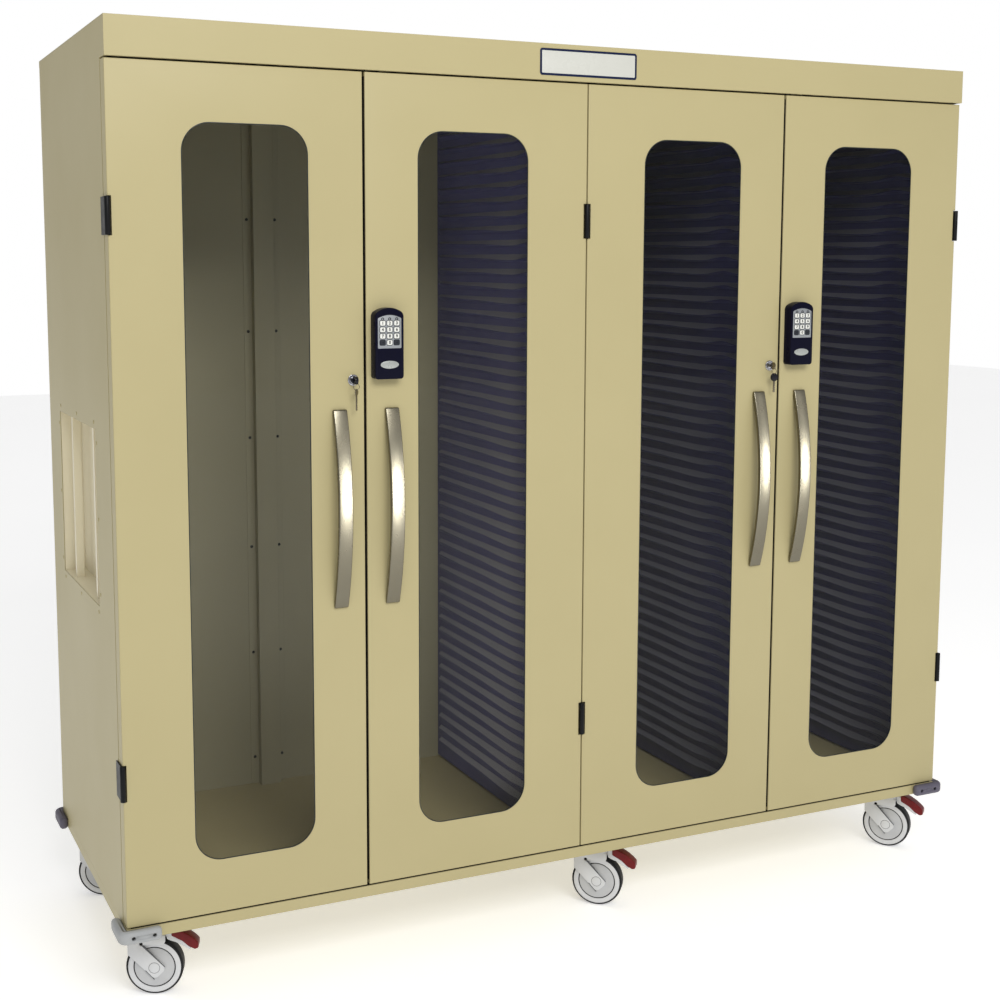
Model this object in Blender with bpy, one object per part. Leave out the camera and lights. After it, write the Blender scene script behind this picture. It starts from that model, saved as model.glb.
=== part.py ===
"""Mobile storage cabinet: four glazed doors, ribbed tray liners and six braked casters.

Units are metres, +Z is up and the doors face -Y. The origin lies on the floor, under
the middle of the whole cabinet. Every solid is drawn in place and then given an
origin on its own joint axis, where it has one.
"""
import bpy
import bmesh
from math import acos, asin, cos, pi, radians, sin, sqrt
from mathutils import Matrix, Vector

# Whole cabinet
BODY_WIDTH = 2.164
BODY_DEPTH = 0.760
BODY_HEIGHT = 2.070
SHEET = 0.0015          # folded steel sheet
CLEARANCE = 0.0003      # between two pieces that touch
CUT_OVERRUN = 0.002     # how far a cutter runs past what it cuts

# Base pan
BASE_BOTTOM = 0.182
BASE_HEIGHT = 0.0245
BASE_LIP = 0.018
BEAM_WIDTH = 0.110

# Header
HEADER_HEIGHT = 0.079
HEADER_LIP = 0.007      # the header stands this far in front of the doors
TOP_REAR_LIP = 0.016

# Doors
DOOR_THICKNESS = 0.035
DOOR_REAR_GAP = 0.0025
DOOR_END_GAP = 0.0035
DOOR_SETBACK = 0.0005
MEETING_GAP = 0.006
CENTRE_GAP = 0.003
DOOR_FOLD = 0.0015
DOOR_CORNER = 0.003
DOOR_LIP = 0.022
INNER_CORNER = 0.001
WINDOW_HINGE_MARGIN = 0.149
WINDOW_FREE_MARGIN = 0.1205
WINDOW_END_MARGIN = 0.116
WINDOW_RADIUS = 0.060
WINDOW_STEPS = 5
GLASS_THICKNESS = 0.004
GLASS_OVERLAP = 0.012

# Side panels, back panel and inner posts
WALL_FLANGE = 0.0397
WALL_LIP = 0.015
REAR_FLANGE = 0.020
BACK_INSET = 0.015
CHANNEL_WIDTH = 0.096
CHANNEL_HAT = 0.054
CHANNEL_DEPTH = 0.025
PARTITION_WIDTH = 0.0794
DIVIDER_WIDTH = 0.0664

# Ribbed liners
LINER_SHEET = 0.003
LINER_FRONT_MARGIN = 0.012
LINER_END_MARGIN = 0.006
LINER_BORDER = 0.022
RIB_END_BORDER = 0.030
RIB_PITCH = 0.0353
RIB_DEPTH = 0.012
RIB_HEIGHT = 0.018
RIB_TAPER = 0.012
RIB_CREST_PLACE = 0.100  # from the liner's front edge
RIB_DIP_PLACE = 0.205
NOSE_LOW = 0.001
NOSE_HIGH = 0.009

# Side pocket with its two grip bars
POCKET_FRONT_MARGIN = 0.200
POCKET_DEPTH_Y = 0.420
POCKET_BOTTOM = 0.855
POCKET_HEIGHT = 0.385
POCKET_DEPTH = 0.050
POCKET_FLANGE = 0.028
GRIP_INSET = 0.078
GRIP_WIDTH = 0.018
GRIP_THICKNESS = 0.014
GRIP_RECESS = 0.012

# Corner bumpers
BUMPER_PROUD = 0.020
BUMPER_LEG = 0.071
BUMPER_HEIGHT = 0.029
BUMPER_DROP = 0.002
BUMPER_RADIUS = 0.014
BUMPER_CHAMFER = 0.004
BUMPER_STEPS = 3

# Hinges
HINGE_HEIGHT = 0.076
HINGE_RADIUS = 0.006
HINGE_LEAF = 0.0035
HINGE_LAP = 0.009
HINGE_NOTCH = 0.0075
HINGE_END_GAP = 0.001
HINGE_STEPS = 10
HINGE_WEB = 0.0015
HINGE_FOOT_WIDTH = 0.030
HINGE_FOOT = 0.0015
TOP_HINGE_DISTANCE = 0.3045  # from the door's top to the hinge's middle
LOW_HINGE_DISTANCE = 0.312

# Bow handles
HANDLE_REACH = 0.040
HANDLE_LENGTH = 0.431
HANDLE_BOTTOM = 0.848
HANDLE_WIDTH = 0.032
HANDLE_THICKNESS = 0.009
HANDLE_FOOT = 0.030
HANDLE_EDGE = 0.004
HANDLE_EDGE_DROP = 0.002
HANDLE_STEPS = 8
HANDLE_FROM_GAP = 0.060

# Key locks, each with its key, and the spare key that hangs from it
LOCK_HEIGHT = 1.341
LOCK_FROM_GAP = 0.028
LOCK_HEAD_RADIUS = 0.0095
LOCK_HEAD = 0.003
LOCK_BARREL_RADIUS = 0.0080
LOCK_BARREL = 0.020
LOCK_STEPS = 12
CAM_LENGTH = 0.040
CAM_WIDTH = 0.012
CAM_THICKNESS = 0.0025
CAM_SLOT_GAP = 0.001
KEY_NECK = 0.006
KEY_HEAD_LENGTH = 0.019
KEY_HEAD_HEIGHT = 0.020
KEY_THICKNESS = 0.0026
KEY_HOLE_RADIUS = 0.0030
KEY_HOLE_INSET = 0.005
KEY_HOLE_STEPS = 7
RING_RADIUS = 0.009
RING_WIRE = 0.0007
RING_STEPS = 14
SPARE_HEAD_RADIUS = 0.008
SPARE_LENGTH = 0.038
SPARE_BLADE = 0.006
SPARE_THICKNESS = 0.002

# Keypad locks and their lock bars
KEYPAD_WIDTH = 0.065
KEYPAD_HEIGHT = 0.1525
KEYPAD_BOTTOM = 1.3425
KEYPAD_FROM_GAP = 0.046
KEYPAD_DEPTH = 0.027
KEYPAD_ARCH = 0.012
KEYPAD_CORNER = 0.008
KEYPAD_SHOULDER = 0.006
KEYPAD_DRAFT = 0.004
KEYPAD_WALL = 0.0025
KEYPAD_STEPS = 3
MAT_WIDTH = 0.050
MAT_HEIGHT = 0.060
MAT_BOTTOM = 0.069
MAT_SHEET = 0.0015
KEY_COLUMNS = 3
KEY_ROWS = 4
KEY_PITCH_X = 0.0162
KEY_PITCH_Z = 0.0138
KEY_WIDTH = 0.0120
KEY_HEIGHT = 0.0102
KEY_PROUD = 0.0016
KEY_CROWN = 0.001
KEY_GAP = 0.0004
KEY_TRAVEL = 0.001
LOCK_BAR_WIDTH = 0.016
LOCK_BAR_THICKNESS = 0.003
LOCK_BAR_BOTTOM = 1.375
LOCK_BAR_THROW = 0.012
LOCK_BAR_GAP = 0.0005

# Casters
WHEEL_RADIUS = 0.0625
WHEEL_WIDTH = 0.032
WHEEL_HUB_RADIUS = 0.014
WHEEL_DISC_RADIUS = 0.044
WHEEL_DISC_INSET = 0.004
TREAD_ROUND = 0.005
WHEEL_STEPS = 16
FORK_LEG = 0.004
FORK_TOP = 0.158
FORK_CROWN = 0.130
FORK_LEFT = 0.036
FORK_RIGHT = 0.046
FORK_EYE = 0.019
FORK_EYE_STEPS = 6
FORK_GAP = 0.001
BEARING_RADIUS = 0.029
BEARING_STEPS = 12
CASTER_TRAIL = 0.021
CASTER_FRONT_INSET = 0.135
CASTER_REAR_INSET = 0.068
LEFT_STEM_INSET = 0.066
MIDDLE_STEM_OFFSET = 0.100
RIGHT_STEM_INSET = 0.067
LEFT_CASTER_TURN = radians(-22)
MIDDLE_CASTER_TURN = radians(-40)
RIGHT_CASTER_TURN = radians(-51)
PEDAL_WIDTH = 0.030
PEDAL_START = 0.058
PEDAL_REACH = 0.120
PEDAL_TOP = 0.148
PEDAL_DROP = 0.022
PEDAL_THICKNESS = 0.024
PEDAL_TOE = 0.014

# Places worked out from the sizes
PEDAL_OUT = (PEDAL_REACH * cos(RIGHT_CASTER_TURN) - RIGHT_STEM_INSET
             + PEDAL_WIDTH / 2 * abs(sin(RIGHT_CASTER_TURN)))
MIDDLE = (BUMPER_PROUD - max(PEDAL_OUT, BUMPER_PROUD)) / 2
LEFT = MIDDLE - BODY_WIDTH / 2
RIGHT = MIDDLE + BODY_WIDTH / 2
DOOR_FACE = (HANDLE_REACH + HEADER_LIP - BODY_DEPTH - BUMPER_PROUD) / 2
HEADER_FACE = DOOR_FACE - HEADER_LIP
REAR_FACE = HEADER_FACE + BODY_DEPTH
DOOR_BACK = DOOR_FACE + DOOR_THICKNESS
CASE_FRONT = DOOR_BACK + DOOR_REAR_GAP
BASE_TOP = BASE_BOTTOM + BASE_HEIGHT
DOOR_BOTTOM = BASE_TOP + DOOR_END_GAP
HEADER_BOTTOM = BODY_HEIGHT - HEADER_HEIGHT
DOOR_TOP = HEADER_BOTTOM - DOOR_END_GAP
TOP_HINGE_HEIGHT = DOOR_TOP - TOP_HINGE_DISTANCE
LOW_HINGE_HEIGHT = DOOR_BOTTOM + LOW_HINGE_DISTANCE
PANEL_BOTTOM = BASE_TOP + CLEARANCE
PANEL_TOP = BODY_HEIGHT - SHEET - CLEARANCE
BACK_INNER = REAR_FACE - BACK_INSET
DOOR_COUNT = 4
DOOR_PITCH = BODY_WIDTH / DOOR_COUNT
LEFT_CHANNEL_X = LEFT + DOOR_PITCH
RIGHT_CHANNEL_X = RIGHT - DOOR_PITCH
BUMPER_BOTTOM = BASE_BOTTOM - BUMPER_DROP


def clear_scene():
    """Remove every object that the file starts with."""
    for item in list(bpy.data.objects):
        bpy.data.objects.remove(item, do_unlink=True)


def make_finish(name, colour, roughness, metallic=0.0, alpha=1.0):
    """Return a Principled material."""
    material = bpy.data.materials.new(name)
    material.use_nodes = True
    shader = material.node_tree.nodes["Principled BSDF"]
    shader.inputs["Base Color"].default_value = (*colour, 1.0)
    shader.inputs["Roughness"].default_value = roughness
    shader.inputs["Metallic"].default_value = metallic
    shader.inputs["Alpha"].default_value = alpha
    return material


def loop_faces(bm, loops, closed=False):
    """Join each loop of points to the next with quads; closed joins the last to the first."""
    rows = [[bm.verts.new(point) for point in loop] for loop in loops]
    pairs = list(zip(rows, rows[1:]))
    if closed:
        pairs.append((rows[-1], rows[0]))
    for lower, upper in pairs:
        count = len(lower)
        for i in range(count):
            j = (i + 1) % count
            bm.faces.new((lower[i], lower[j], upper[j], upper[i]))
    return rows


def lofted(loops):
    """Return a solid through the loops, with its first and last loop filled."""
    bm = bmesh.new()
    rows = loop_faces(bm, loops)
    bm.faces.new(rows[0])
    bm.faces.new(rows[-1])
    return bm


def tube_of_loops(loops):
    """Return a ring-shaped solid whose last loop joins its first."""
    bm = bmesh.new()
    loop_faces(bm, loops, closed=True)
    return bm


def prism(outline, start, end, axis, holes=()):
    """Return an outline pushed along an axis from start to end, with any holes right through."""
    def place(u, v, w):
        return {"x": (w, u, v), "y": (u, w, v), "z": (u, v, w)}[axis]

    if not holes:
        return lofted([[place(u, v, w) for u, v in outline] for w in (start, end)])
    bm = bmesh.new()
    ends = ([], [])
    for path in (outline, *holes):
        rows = loop_faces(bm, [[place(u, v, w) for u, v in path] for w in (start, end)])
        for edges, row in zip(ends, rows):
            edges.extend(bm.edges.get((row[i - 1], row[i])) for i in range(len(row)))
    for edges in ends:
        bmesh.ops.triangle_fill(bm, edges=edges, use_beauty=True)
    return bm


def block(x0, x1, y0, y1, z0, z1):
    """Return a box between two corners."""
    return prism([(x0, y0), (x1, y0), (x1, y1), (x0, y1)], z0, z1, "z")


def turned(profile, centre, steps, axis="y"):
    """Return a solid turned about an axis from points of (place along it, radius)."""
    loops = []
    for along, radius in profile:
        loop = []
        for k in range(steps):
            turn = 2 * pi * k / steps - pi / 2
            a, b = radius * cos(turn), radius * sin(turn)
            offset = {"y": (a, along, b), "z": (a, b, along)}[axis]
            loop.append(Vector(centre) + Vector(offset))
        loops.append(loop)
    return lofted(loops)


def rounded_rectangle(x0, x1, z0, z1, radius, steps):
    """Return the points round a rectangle with rounded corners, counter-clockwise."""
    corners = ((x1, z0, -90), (x1, z1, 0), (x0, z1, 90), (x0, z0, 180))
    points = []
    for x, z, first in corners:
        cx = x - radius if x == x1 else x + radius
        cz = z - radius if z == z1 else z + radius
        for k in range(steps + 1):
            turn = radians(first + 90 * k / steps)
            points.append((cx + radius * cos(turn), cz + radius * sin(turn)))
    return points


def arc(cx, cz, radius, first, last, steps):
    """Return points along an arc, from one angle to another in radians."""
    return [(cx + radius * cos(first + (last - first) * k / steps),
             cz + radius * sin(first + (last - first) * k / steps)) for k in range(steps + 1)]


def to_mesh(bm, name):
    """Write the working mesh to a new mesh with its faces outward."""
    bmesh.ops.recalc_face_normals(bm, faces=bm.faces)
    mesh = bpy.data.meshes.new(name)
    bm.to_mesh(mesh)
    bm.free()
    return mesh


def combine(bm, others, operation):
    """Return the working mesh after a Boolean with each of the others."""
    body = bpy.data.objects.new("body", to_mesh(bm, "body"))
    bpy.context.collection.objects.link(body)
    tools = []
    for other in others:
        tool = bpy.data.objects.new("tool", to_mesh(other, "tool"))
        bpy.context.collection.objects.link(tool)
        tool.display_type = "WIRE"
        tool.hide_render = True
        tools.append(tool)
        step = body.modifiers.new("step", "BOOLEAN")
        step.operation = operation
        step.solver = "EXACT"
        step.object = tool
    graph = bpy.context.evaluated_depsgraph_get()
    result = bmesh.new()
    result.from_mesh(body.evaluated_get(graph).to_mesh())
    for item in (body, *tools):
        bpy.data.objects.remove(item, do_unlink=True)
    bmesh.ops.remove_doubles(result, verts=result.verts, dist=CLEARANCE / 100)
    bmesh.ops.dissolve_degenerate(result, edges=result.edges, dist=CLEARANCE / 100)
    return result


def cut(bm, *cutters):
    """Take the cutters out of a solid."""
    return combine(bm, cutters, "DIFFERENCE")


def unite(bm, *others):
    """Join solids that overlap into one body."""
    return combine(bm, others, "UNION")


def add_part(name, solid, finish, pivot=(0, 0, 0), parent=None, smooth=None):
    """Make an object from a solid, with its origin at pivot, and hang it on its parent."""
    mesh = to_mesh(solid, name) if isinstance(solid, bmesh.types.BMesh) else solid
    if isinstance(solid, bmesh.types.BMesh):
        mesh.transform(Matrix.Translation(-Vector(pivot)))
    if smooth is not None:
        mesh.shade_smooth()
        mesh.set_sharp_from_angle(angle=radians(smooth))
    if not mesh.materials:
        mesh.materials.append(finish)
    part = bpy.data.objects.new(name, mesh)
    bpy.context.collection.objects.link(part)
    part.location = pivot
    if parent is not None:
        part.parent = parent
        part.location -= world_place(parent)
    return part


def world_place(part):
    """Return where a part that isn't turned has its origin."""
    place = part.location.copy()
    while part.parent is not None:
        part = part.parent
        place += part.location
    return place


def flanged_post(width, front, rear):
    """Outline of an inner post in plan: a web with a lipped flange at the front and the rear."""
    h, s, web = width / 2, SHEET, SHEET / 2
    right = [(h, front), (h, front + WALL_LIP), (h - s, front + WALL_LIP), (h - s, front + s),
             (web, front + s), (web, rear - s), (h - s, rear - s), (h - s, rear - WALL_LIP),
             (h, rear - WALL_LIP), (h, rear)]
    return right + [(-x, y) for x, y in reversed(right)]


def base_pan():
    """Floor sheet with a folded rail all round and three beams across for the casters."""
    pan = block(LEFT, RIGHT, DOOR_FACE, REAR_FACE, BASE_BOTTOM, BASE_TOP)
    centres = [stem_place(name)[0] for name in ("front_left", "front_middle", "front_right")]
    half = BEAM_WIDTH / 2
    walls = [LEFT + BASE_LIP]
    for x in centres:
        walls += [max(x - half, walls[-1]), min(x + half, RIGHT - BASE_LIP)]
    walls.append(RIGHT - BASE_LIP)
    hollows = []
    for x0, x1 in zip(walls[::2], walls[1::2]):
        if x1 - x0 > BASE_LIP:
            hollows.append(block(x0, x1, DOOR_FACE + BASE_LIP, REAR_FACE - BASE_LIP,
                                 BASE_BOTTOM - CUT_OVERRUN, BASE_TOP - SHEET))
    return cut(pan, *hollows)


def side_panel(side):
    """Folded side wall in plan, with a forward ear that closes the header's end."""
    outer = LEFT if side < 0 else RIGHT
    s, f = SHEET, WALL_FLANGE
    path = [(0, CASE_FRONT), (f, CASE_FRONT), (f, CASE_FRONT + WALL_LIP),
            (f - s, CASE_FRONT + WALL_LIP), (f - s, CASE_FRONT + s), (s, CASE_FRONT + s),
            (s, REAR_FACE - s), (REAR_FLANGE, REAR_FACE - s), (REAR_FLANGE, REAR_FACE),
            (0, REAR_FACE)]
    panel = prism([(outer - side * x, y) for x, y in path], PANEL_BOTTOM, PANEL_TOP, "z")
    ear = block(min(outer, outer - side * s), max(outer, outer - side * s),
                HEADER_FACE + SHEET + CLEARANCE, CASE_FRONT + s, HEADER_BOTTOM, PANEL_TOP)
    panel = unite(panel, ear)
    if side < 0:
        y0 = HEADER_FACE + POCKET_FRONT_MARGIN
        panel = cut(panel, block(LEFT - CUT_OVERRUN, LEFT + SHEET + CUT_OVERRUN, y0,
                                 y0 + POCKET_DEPTH_Y, POCKET_BOTTOM,
                                 POCKET_BOTTOM + POCKET_HEIGHT))
    return panel


def back_panel():
    """Back sheet with rear folds at its ends and a hat channel on it in each half."""
    x0, x1 = LEFT + SHEET + CLEARANCE, RIGHT - SHEET - CLEARANCE
    rear = REAR_FACE - SHEET - CLEARANCE
    s = SHEET
    front, wall = BACK_INNER, BACK_INNER + s
    outline = [(x0, rear), (x0, front)]
    holes = []
    for x in (LEFT_CHANNEL_X, RIGHT_CHANNEL_X):
        flange, hat = CHANNEL_WIDTH / 2, CHANNEL_HAT / 2
        crest = front - CHANNEL_DEPTH
        outline += [(x - flange, front), (x - flange, front - s), (x - hat, front - s),
                    (x - hat, crest), (x + hat, crest), (x + hat, front - s),
                    (x + flange, front - s), (x + flange, front)]
        holes.append([(x - hat + s, front), (x + hat - s, front), (x + hat - s, crest + s),
                      (x - hat + s, crest + s)])
    outline += [(x1, front), (x1, rear), (x1 - s, rear), (x1 - s, wall), (x0 + s, wall),
                (x0 + s, rear)]
    return prism(outline, PANEL_BOTTOM, PANEL_TOP, "z", holes)


def top_cover():
    """Top sheet folded down into the header, with slots for the lock bars underneath."""
    s, top, low = SHEET, BODY_HEIGHT, HEADER_BOTTOM
    front, stop = HEADER_FACE, CASE_FRONT - CLEARANCE
    rear = REAR_FACE + s + CLEARANCE
    outline = [(front, low), (stop, low), (stop, low + s), (front + s, low + s),
               (front + s, top - s), (rear - s, top - s), (rear - s, top - TOP_REAR_LIP),
               (rear, top - TOP_REAR_LIP), (rear, top), (front, top)]
    cover = prism(outline, LEFT, RIGHT, "x")
    cutters = []
    for side, outer in ((-1, LEFT), (1, RIGHT)):
        edges = sorted((outer + side * CUT_OVERRUN, outer - side * (SHEET + CLEARANCE)))
        cutters.append(block(*edges, front + s + CLEARANCE / 2, stop + CUT_OVERRUN,
                             low - CUT_OVERRUN, low + s + CUT_OVERRUN))
    for door in (2, 4):
        x0, x1, y0, y1 = lock_bar_section(door, LOCK_BAR_GAP)
        cutters.append(block(x0, x1, y0, y1, low - CUT_OVERRUN, low + s + CUT_OVERRUN))
    return cut(cover, *cutters)


def liner(back_x, side, y1):
    """Ribbed tray liner: a flat sheet whose shelves stand out and wave along their length."""
    y0 = CASE_FRONT + WALL_LIP + LINER_FRONT_MARGIN
    z0, z1 = BASE_TOP + LINER_END_MARGIN, HEADER_BOTTOM - LINER_END_MARGIN
    wall = back_x + side * LINER_SHEET
    nose = wall + side * RIB_DEPTH
    count = int((z1 - z0 - 2 * RIB_END_BORDER) / RIB_PITCH)
    first = z0 + (z1 - z0 - count * RIB_PITCH) / 2
    stations = ((y0 + LINER_BORDER, NOSE_LOW, RIB_TAPER),
                (y0 + RIB_CREST_PLACE, NOSE_HIGH, 0),
                (y0 + RIB_DIP_PLACE, NOSE_LOW, 0),
                (y1 - LINER_BORDER, NOSE_HIGH, -RIB_TAPER))
    bm = bmesh.new()
    columns = []
    for y, lift, taper in stations:
        column = [bm.verts.new((wall, y, z0))]
        for k in range(count):
            root = first + k * RIB_PITCH
            column.append(bm.verts.new((wall, y, root)))
            column.append(bm.verts.new((nose, y + taper, root + lift)))
            column.append(bm.verts.new((wall, y, root + RIB_HEIGHT)))
        column.append(bm.verts.new((wall, y, z1)))
        columns.append(column)
    for near, far in zip(columns, columns[1:]):
        for k in range(len(near) - 1):
            bm.faces.new((near[k], near[k + 1], far[k + 1], far[k]))
    edge_pairs = []
    for y, column in ((y0, columns[0]), (y1, columns[-1])):
        low, high = bm.verts.new((wall, y, z0)), bm.verts.new((wall, y, z1))
        flat = [v for k, v in enumerate(column) if k % 3 != 2 or k == len(column) - 1]
        bm.faces.new([low, *flat, high])
        for k in range(count):
            bm.faces.new(column[3 * k + 1:3 * k + 4])
        edge_pairs.append((low, high))
    (low0, high0), (low1, high1) = edge_pairs
    rear = [bm.verts.new((back_x, y, z)) for y, z in ((y0, z0), (y0, z1), (y1, z1), (y1, z0))]
    bm.faces.new(rear)
    bm.faces.new((low0, high0, rear[1], rear[0]))
    bm.faces.new((low1, high1, rear[2], rear[3]))
    bm.faces.new([low0, *[column[0] for column in columns], low1, rear[3], rear[0]])
    bm.faces.new([high0, *[column[-1] for column in columns], high1, rear[2], rear[1]])
    return bm


def side_pocket():
    """Open tray behind the left wall's cut-out, with a flange to rivet and two grip bars."""
    y0 = HEADER_FACE + POCKET_FRONT_MARGIN
    y1, z0 = y0 + POCKET_DEPTH_Y, POCKET_BOTTOM
    z1, s, f = z0 + POCKET_HEIGHT, SHEET, POCKET_FLANGE
    mouth = LEFT + SHEET + CLEARANCE
    floor = LEFT + POCKET_DEPTH

    def frame(grow, x):
        return [(x, y0 - grow, z0 - grow), (x, y1 + grow, z0 - grow),
                (x, y1 + grow, z1 + grow), (x, y0 - grow, z1 + grow)]

    tray = lofted([frame(0, floor), frame(0, mouth), frame(f, mouth), frame(f, mouth + s),
                   frame(s, mouth + s), frame(s, floor + s)])
    bars = []
    for y in (y0 + GRIP_INSET, y1 - GRIP_INSET - GRIP_THICKNESS):
        bars.append(block(LEFT + GRIP_RECESS, LEFT + GRIP_RECESS + GRIP_WIDTH,
                          y, y + GRIP_THICKNESS, z0 - s / 2, z1 + s / 2))
    return unite(tray, *bars)


def bumper(side, end):
    """Corner bumper in plan, an L with a rounded outer corner and softened edges."""
    corner_x = LEFT if side < 0 else RIGHT
    corner_y = DOOR_FACE if end < 0 else REAR_FACE

    def outline(inset):
        r = BUMPER_RADIUS - inset
        out = BUMPER_PROUD - inset
        leg = BUMPER_LEG - inset
        gap = CLEARANCE
        path = [(gap, gap), (gap, -leg)]
        path += [(out, -leg)]
        path += arc(out - r, out - r, r, 0, pi / 2, BUMPER_STEPS)
        path += [(-leg, out), (-leg, gap)]
        return path

    z0, z1, c = BUMPER_BOTTOM, BUMPER_BOTTOM + BUMPER_HEIGHT, BUMPER_CHAMFER
    loops = []
    for z, inset in ((z0, c), (z0 + c, 0), (z1 - c, 0), (z1, c)):
        loops.append([(corner_x + side * x, corner_y + end * y, z) for x, y in outline(inset)])
    return lofted(loops)


def door_edges(door):
    """Return a door's left and right edge, its hinge axis and its hinge side."""
    gaps = (-DOOR_SETBACK * 2, MEETING_GAP, CENTRE_GAP, MEETING_GAP, -DOOR_SETBACK * 2)
    left = LEFT + (door - 1) * DOOR_PITCH + abs(gaps[door - 1]) / 2
    right = LEFT + door * DOOR_PITCH - abs(gaps[door]) / 2
    hinge_left = door % 2 == 1
    axis_x = LEFT + (door - 1 if hinge_left else door) * DOOR_PITCH
    return left, right, axis_x, -1 if hinge_left else 1


def window_edges(door, grow=0.0):
    """Return the corners of a door's window, grown all round."""
    left, right, _, side = door_edges(door)
    near, far = WINDOW_HINGE_MARGIN, WINDOW_FREE_MARGIN
    if side > 0:
        near, far = far, near
    return (left + near - grow, right - far + grow, DOOR_BOTTOM + WINDOW_END_MARGIN - grow,
            DOOR_TOP - WINDOW_END_MARGIN + grow)


def gap_place(door, distance):
    """Return the x that lies a distance from the gap where a door meets its neighbour."""
    _, _, axis_x, side = door_edges(door)
    return axis_x - side * (DOOR_PITCH - distance)


def lock_bar_section(door, grow=0.0):
    """Return the plan corners of a lock bar, grown all round."""
    x = gap_place(door, KEYPAD_FROM_GAP)
    y = DOOR_FACE + SHEET + CLEARANCE
    half = LOCK_BAR_WIDTH / 2 + grow
    return x - half, x + half, y - grow, y + LOCK_BAR_THICKNESS + grow


def cam_plane():
    """Return the front and back of the cams, behind the lock barrels."""
    y = DOOR_FACE + LOCK_BARREL
    return y, y + CAM_THICKNESS


def door_panel(door):
    """Door pan: a face sheet round the window, folded back on all edges and lipped inwards."""
    left, right, axis_x, side = door_edges(door)
    s = SHEET

    def ring(inset, radius, y):
        path = rounded_rectangle(left + inset, right - inset, DOOR_BOTTOM + inset,
                                 DOOR_TOP - inset, radius, WINDOW_STEPS)
        return [(x, y, z) for x, z in path]

    def window(y):
        path = rounded_rectangle(*window_edges(door), WINDOW_RADIUS, WINDOW_STEPS)
        return [(x, y, z) for x, z in path]

    panel = tube_of_loops([
        window(DOOR_FACE), ring(DOOR_FOLD, DOOR_CORNER, DOOR_FACE),
        ring(0, DOOR_CORNER, DOOR_FACE + DOOR_FOLD), ring(0, DOOR_CORNER, DOOR_BACK),
        ring(DOOR_LIP, INNER_CORNER, DOOR_BACK), ring(DOOR_LIP, INNER_CORNER, DOOR_BACK - s),
        ring(s, INNER_CORNER, DOOR_BACK - s), ring(s, INNER_CORNER, DOOR_FACE + s),
        window(DOOR_FACE + s)])
    cutters = []
    for height in (TOP_HINGE_HEIGHT, LOW_HINGE_HEIGHT):
        half = HINGE_HEIGHT / 2 + HINGE_END_GAP
        xs = sorted((axis_x + side * HINGE_NOTCH, axis_x - side * HINGE_NOTCH))
        cutters.append(block(*xs, DOOR_FACE - HINGE_NOTCH, DOOR_FACE + HINGE_NOTCH,
                             height - half, height + half))
    free_edge = left if side > 0 else right
    xs = sorted((free_edge - side * CUT_OVERRUN, free_edge + side * (s + CUT_OVERRUN)))
    near, far = cam_plane()
    hub = abs(gap_place(door, LOCK_FROM_GAP) - free_edge) - SHEET
    if side < 0:
        rise = sqrt(CAM_LENGTH ** 2 - hub ** 2) + CAM_WIDTH / 2
    else:
        partner_hub = hub + MEETING_GAP + 2 * SHEET
        rise = sqrt(CAM_LENGTH ** 2 - partner_hub ** 2) + CAM_WIDTH / 2
    cutters.append(block(*xs, near - CAM_SLOT_GAP, far + CAM_SLOT_GAP,
                         LOCK_HEIGHT - CAM_WIDTH / 2 - CAM_SLOT_GAP, LOCK_HEIGHT + rise))
    if side < 0:
        centre = (gap_place(door, LOCK_FROM_GAP), 0, LOCK_HEIGHT)
        radius = LOCK_BARREL_RADIUS + CLEARANCE
        ends = ((DOOR_FACE - CUT_OVERRUN, radius), (DOOR_FACE + s + CUT_OVERRUN, radius))
        cutters.append(turned(ends, centre, LOCK_STEPS))
    else:
        x0, x1, y0, y1 = lock_bar_section(door, LOCK_BAR_GAP)
        cutters.append(block(x0, x1, y0, y1, DOOR_TOP - s - CUT_OVERRUN,
                             DOOR_TOP + CUT_OVERRUN))
    return cut(panel, *cutters)


def glass_pane(door):
    """Glass held behind the face sheet, lapping the window all round."""
    path = rounded_rectangle(*window_edges(door, GLASS_OVERLAP),
                             WINDOW_RADIUS + GLASS_OVERLAP, WINDOW_STEPS)
    front = DOOR_FACE + SHEET + CLEARANCE
    return prism(path, front, front + GLASS_THICKNESS, "y")


def handle(door):
    """Bow handle: a broad flat strip arched away from the door between two feet."""
    x = gap_place(door, HANDLE_FROM_GAP)
    middle = HANDLE_BOTTOM + HANDLE_LENGTH / 2
    seat = DOOR_FACE - CLEARANCE
    reach = HANDLE_REACH - CLEARANCE

    def bow(length, height, steps):
        points = []
        for k in range(steps + 1):
            share = 2 * k / steps - 1
            points.append((seat - height * (1 - share ** 2), middle + share * length / 2))
        return points

    def outline(drop):
        outer = bow(HANDLE_LENGTH - 2 * drop, reach - drop, HANDLE_STEPS)
        inner = bow(HANDLE_LENGTH - 2 * HANDLE_FOOT, reach - HANDLE_THICKNESS, HANDLE_STEPS)
        return outer + inner[::-1]

    half = HANDLE_WIDTH / 2
    loops = []
    for dx, drop in ((-half, HANDLE_EDGE_DROP), (HANDLE_EDGE - half, 0),
                     (half - HANDLE_EDGE, 0), (half, HANDLE_EDGE_DROP)):
        loops.append([(x + dx, y, z) for y, z in outline(drop)])
    return lofted(loops)


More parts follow.
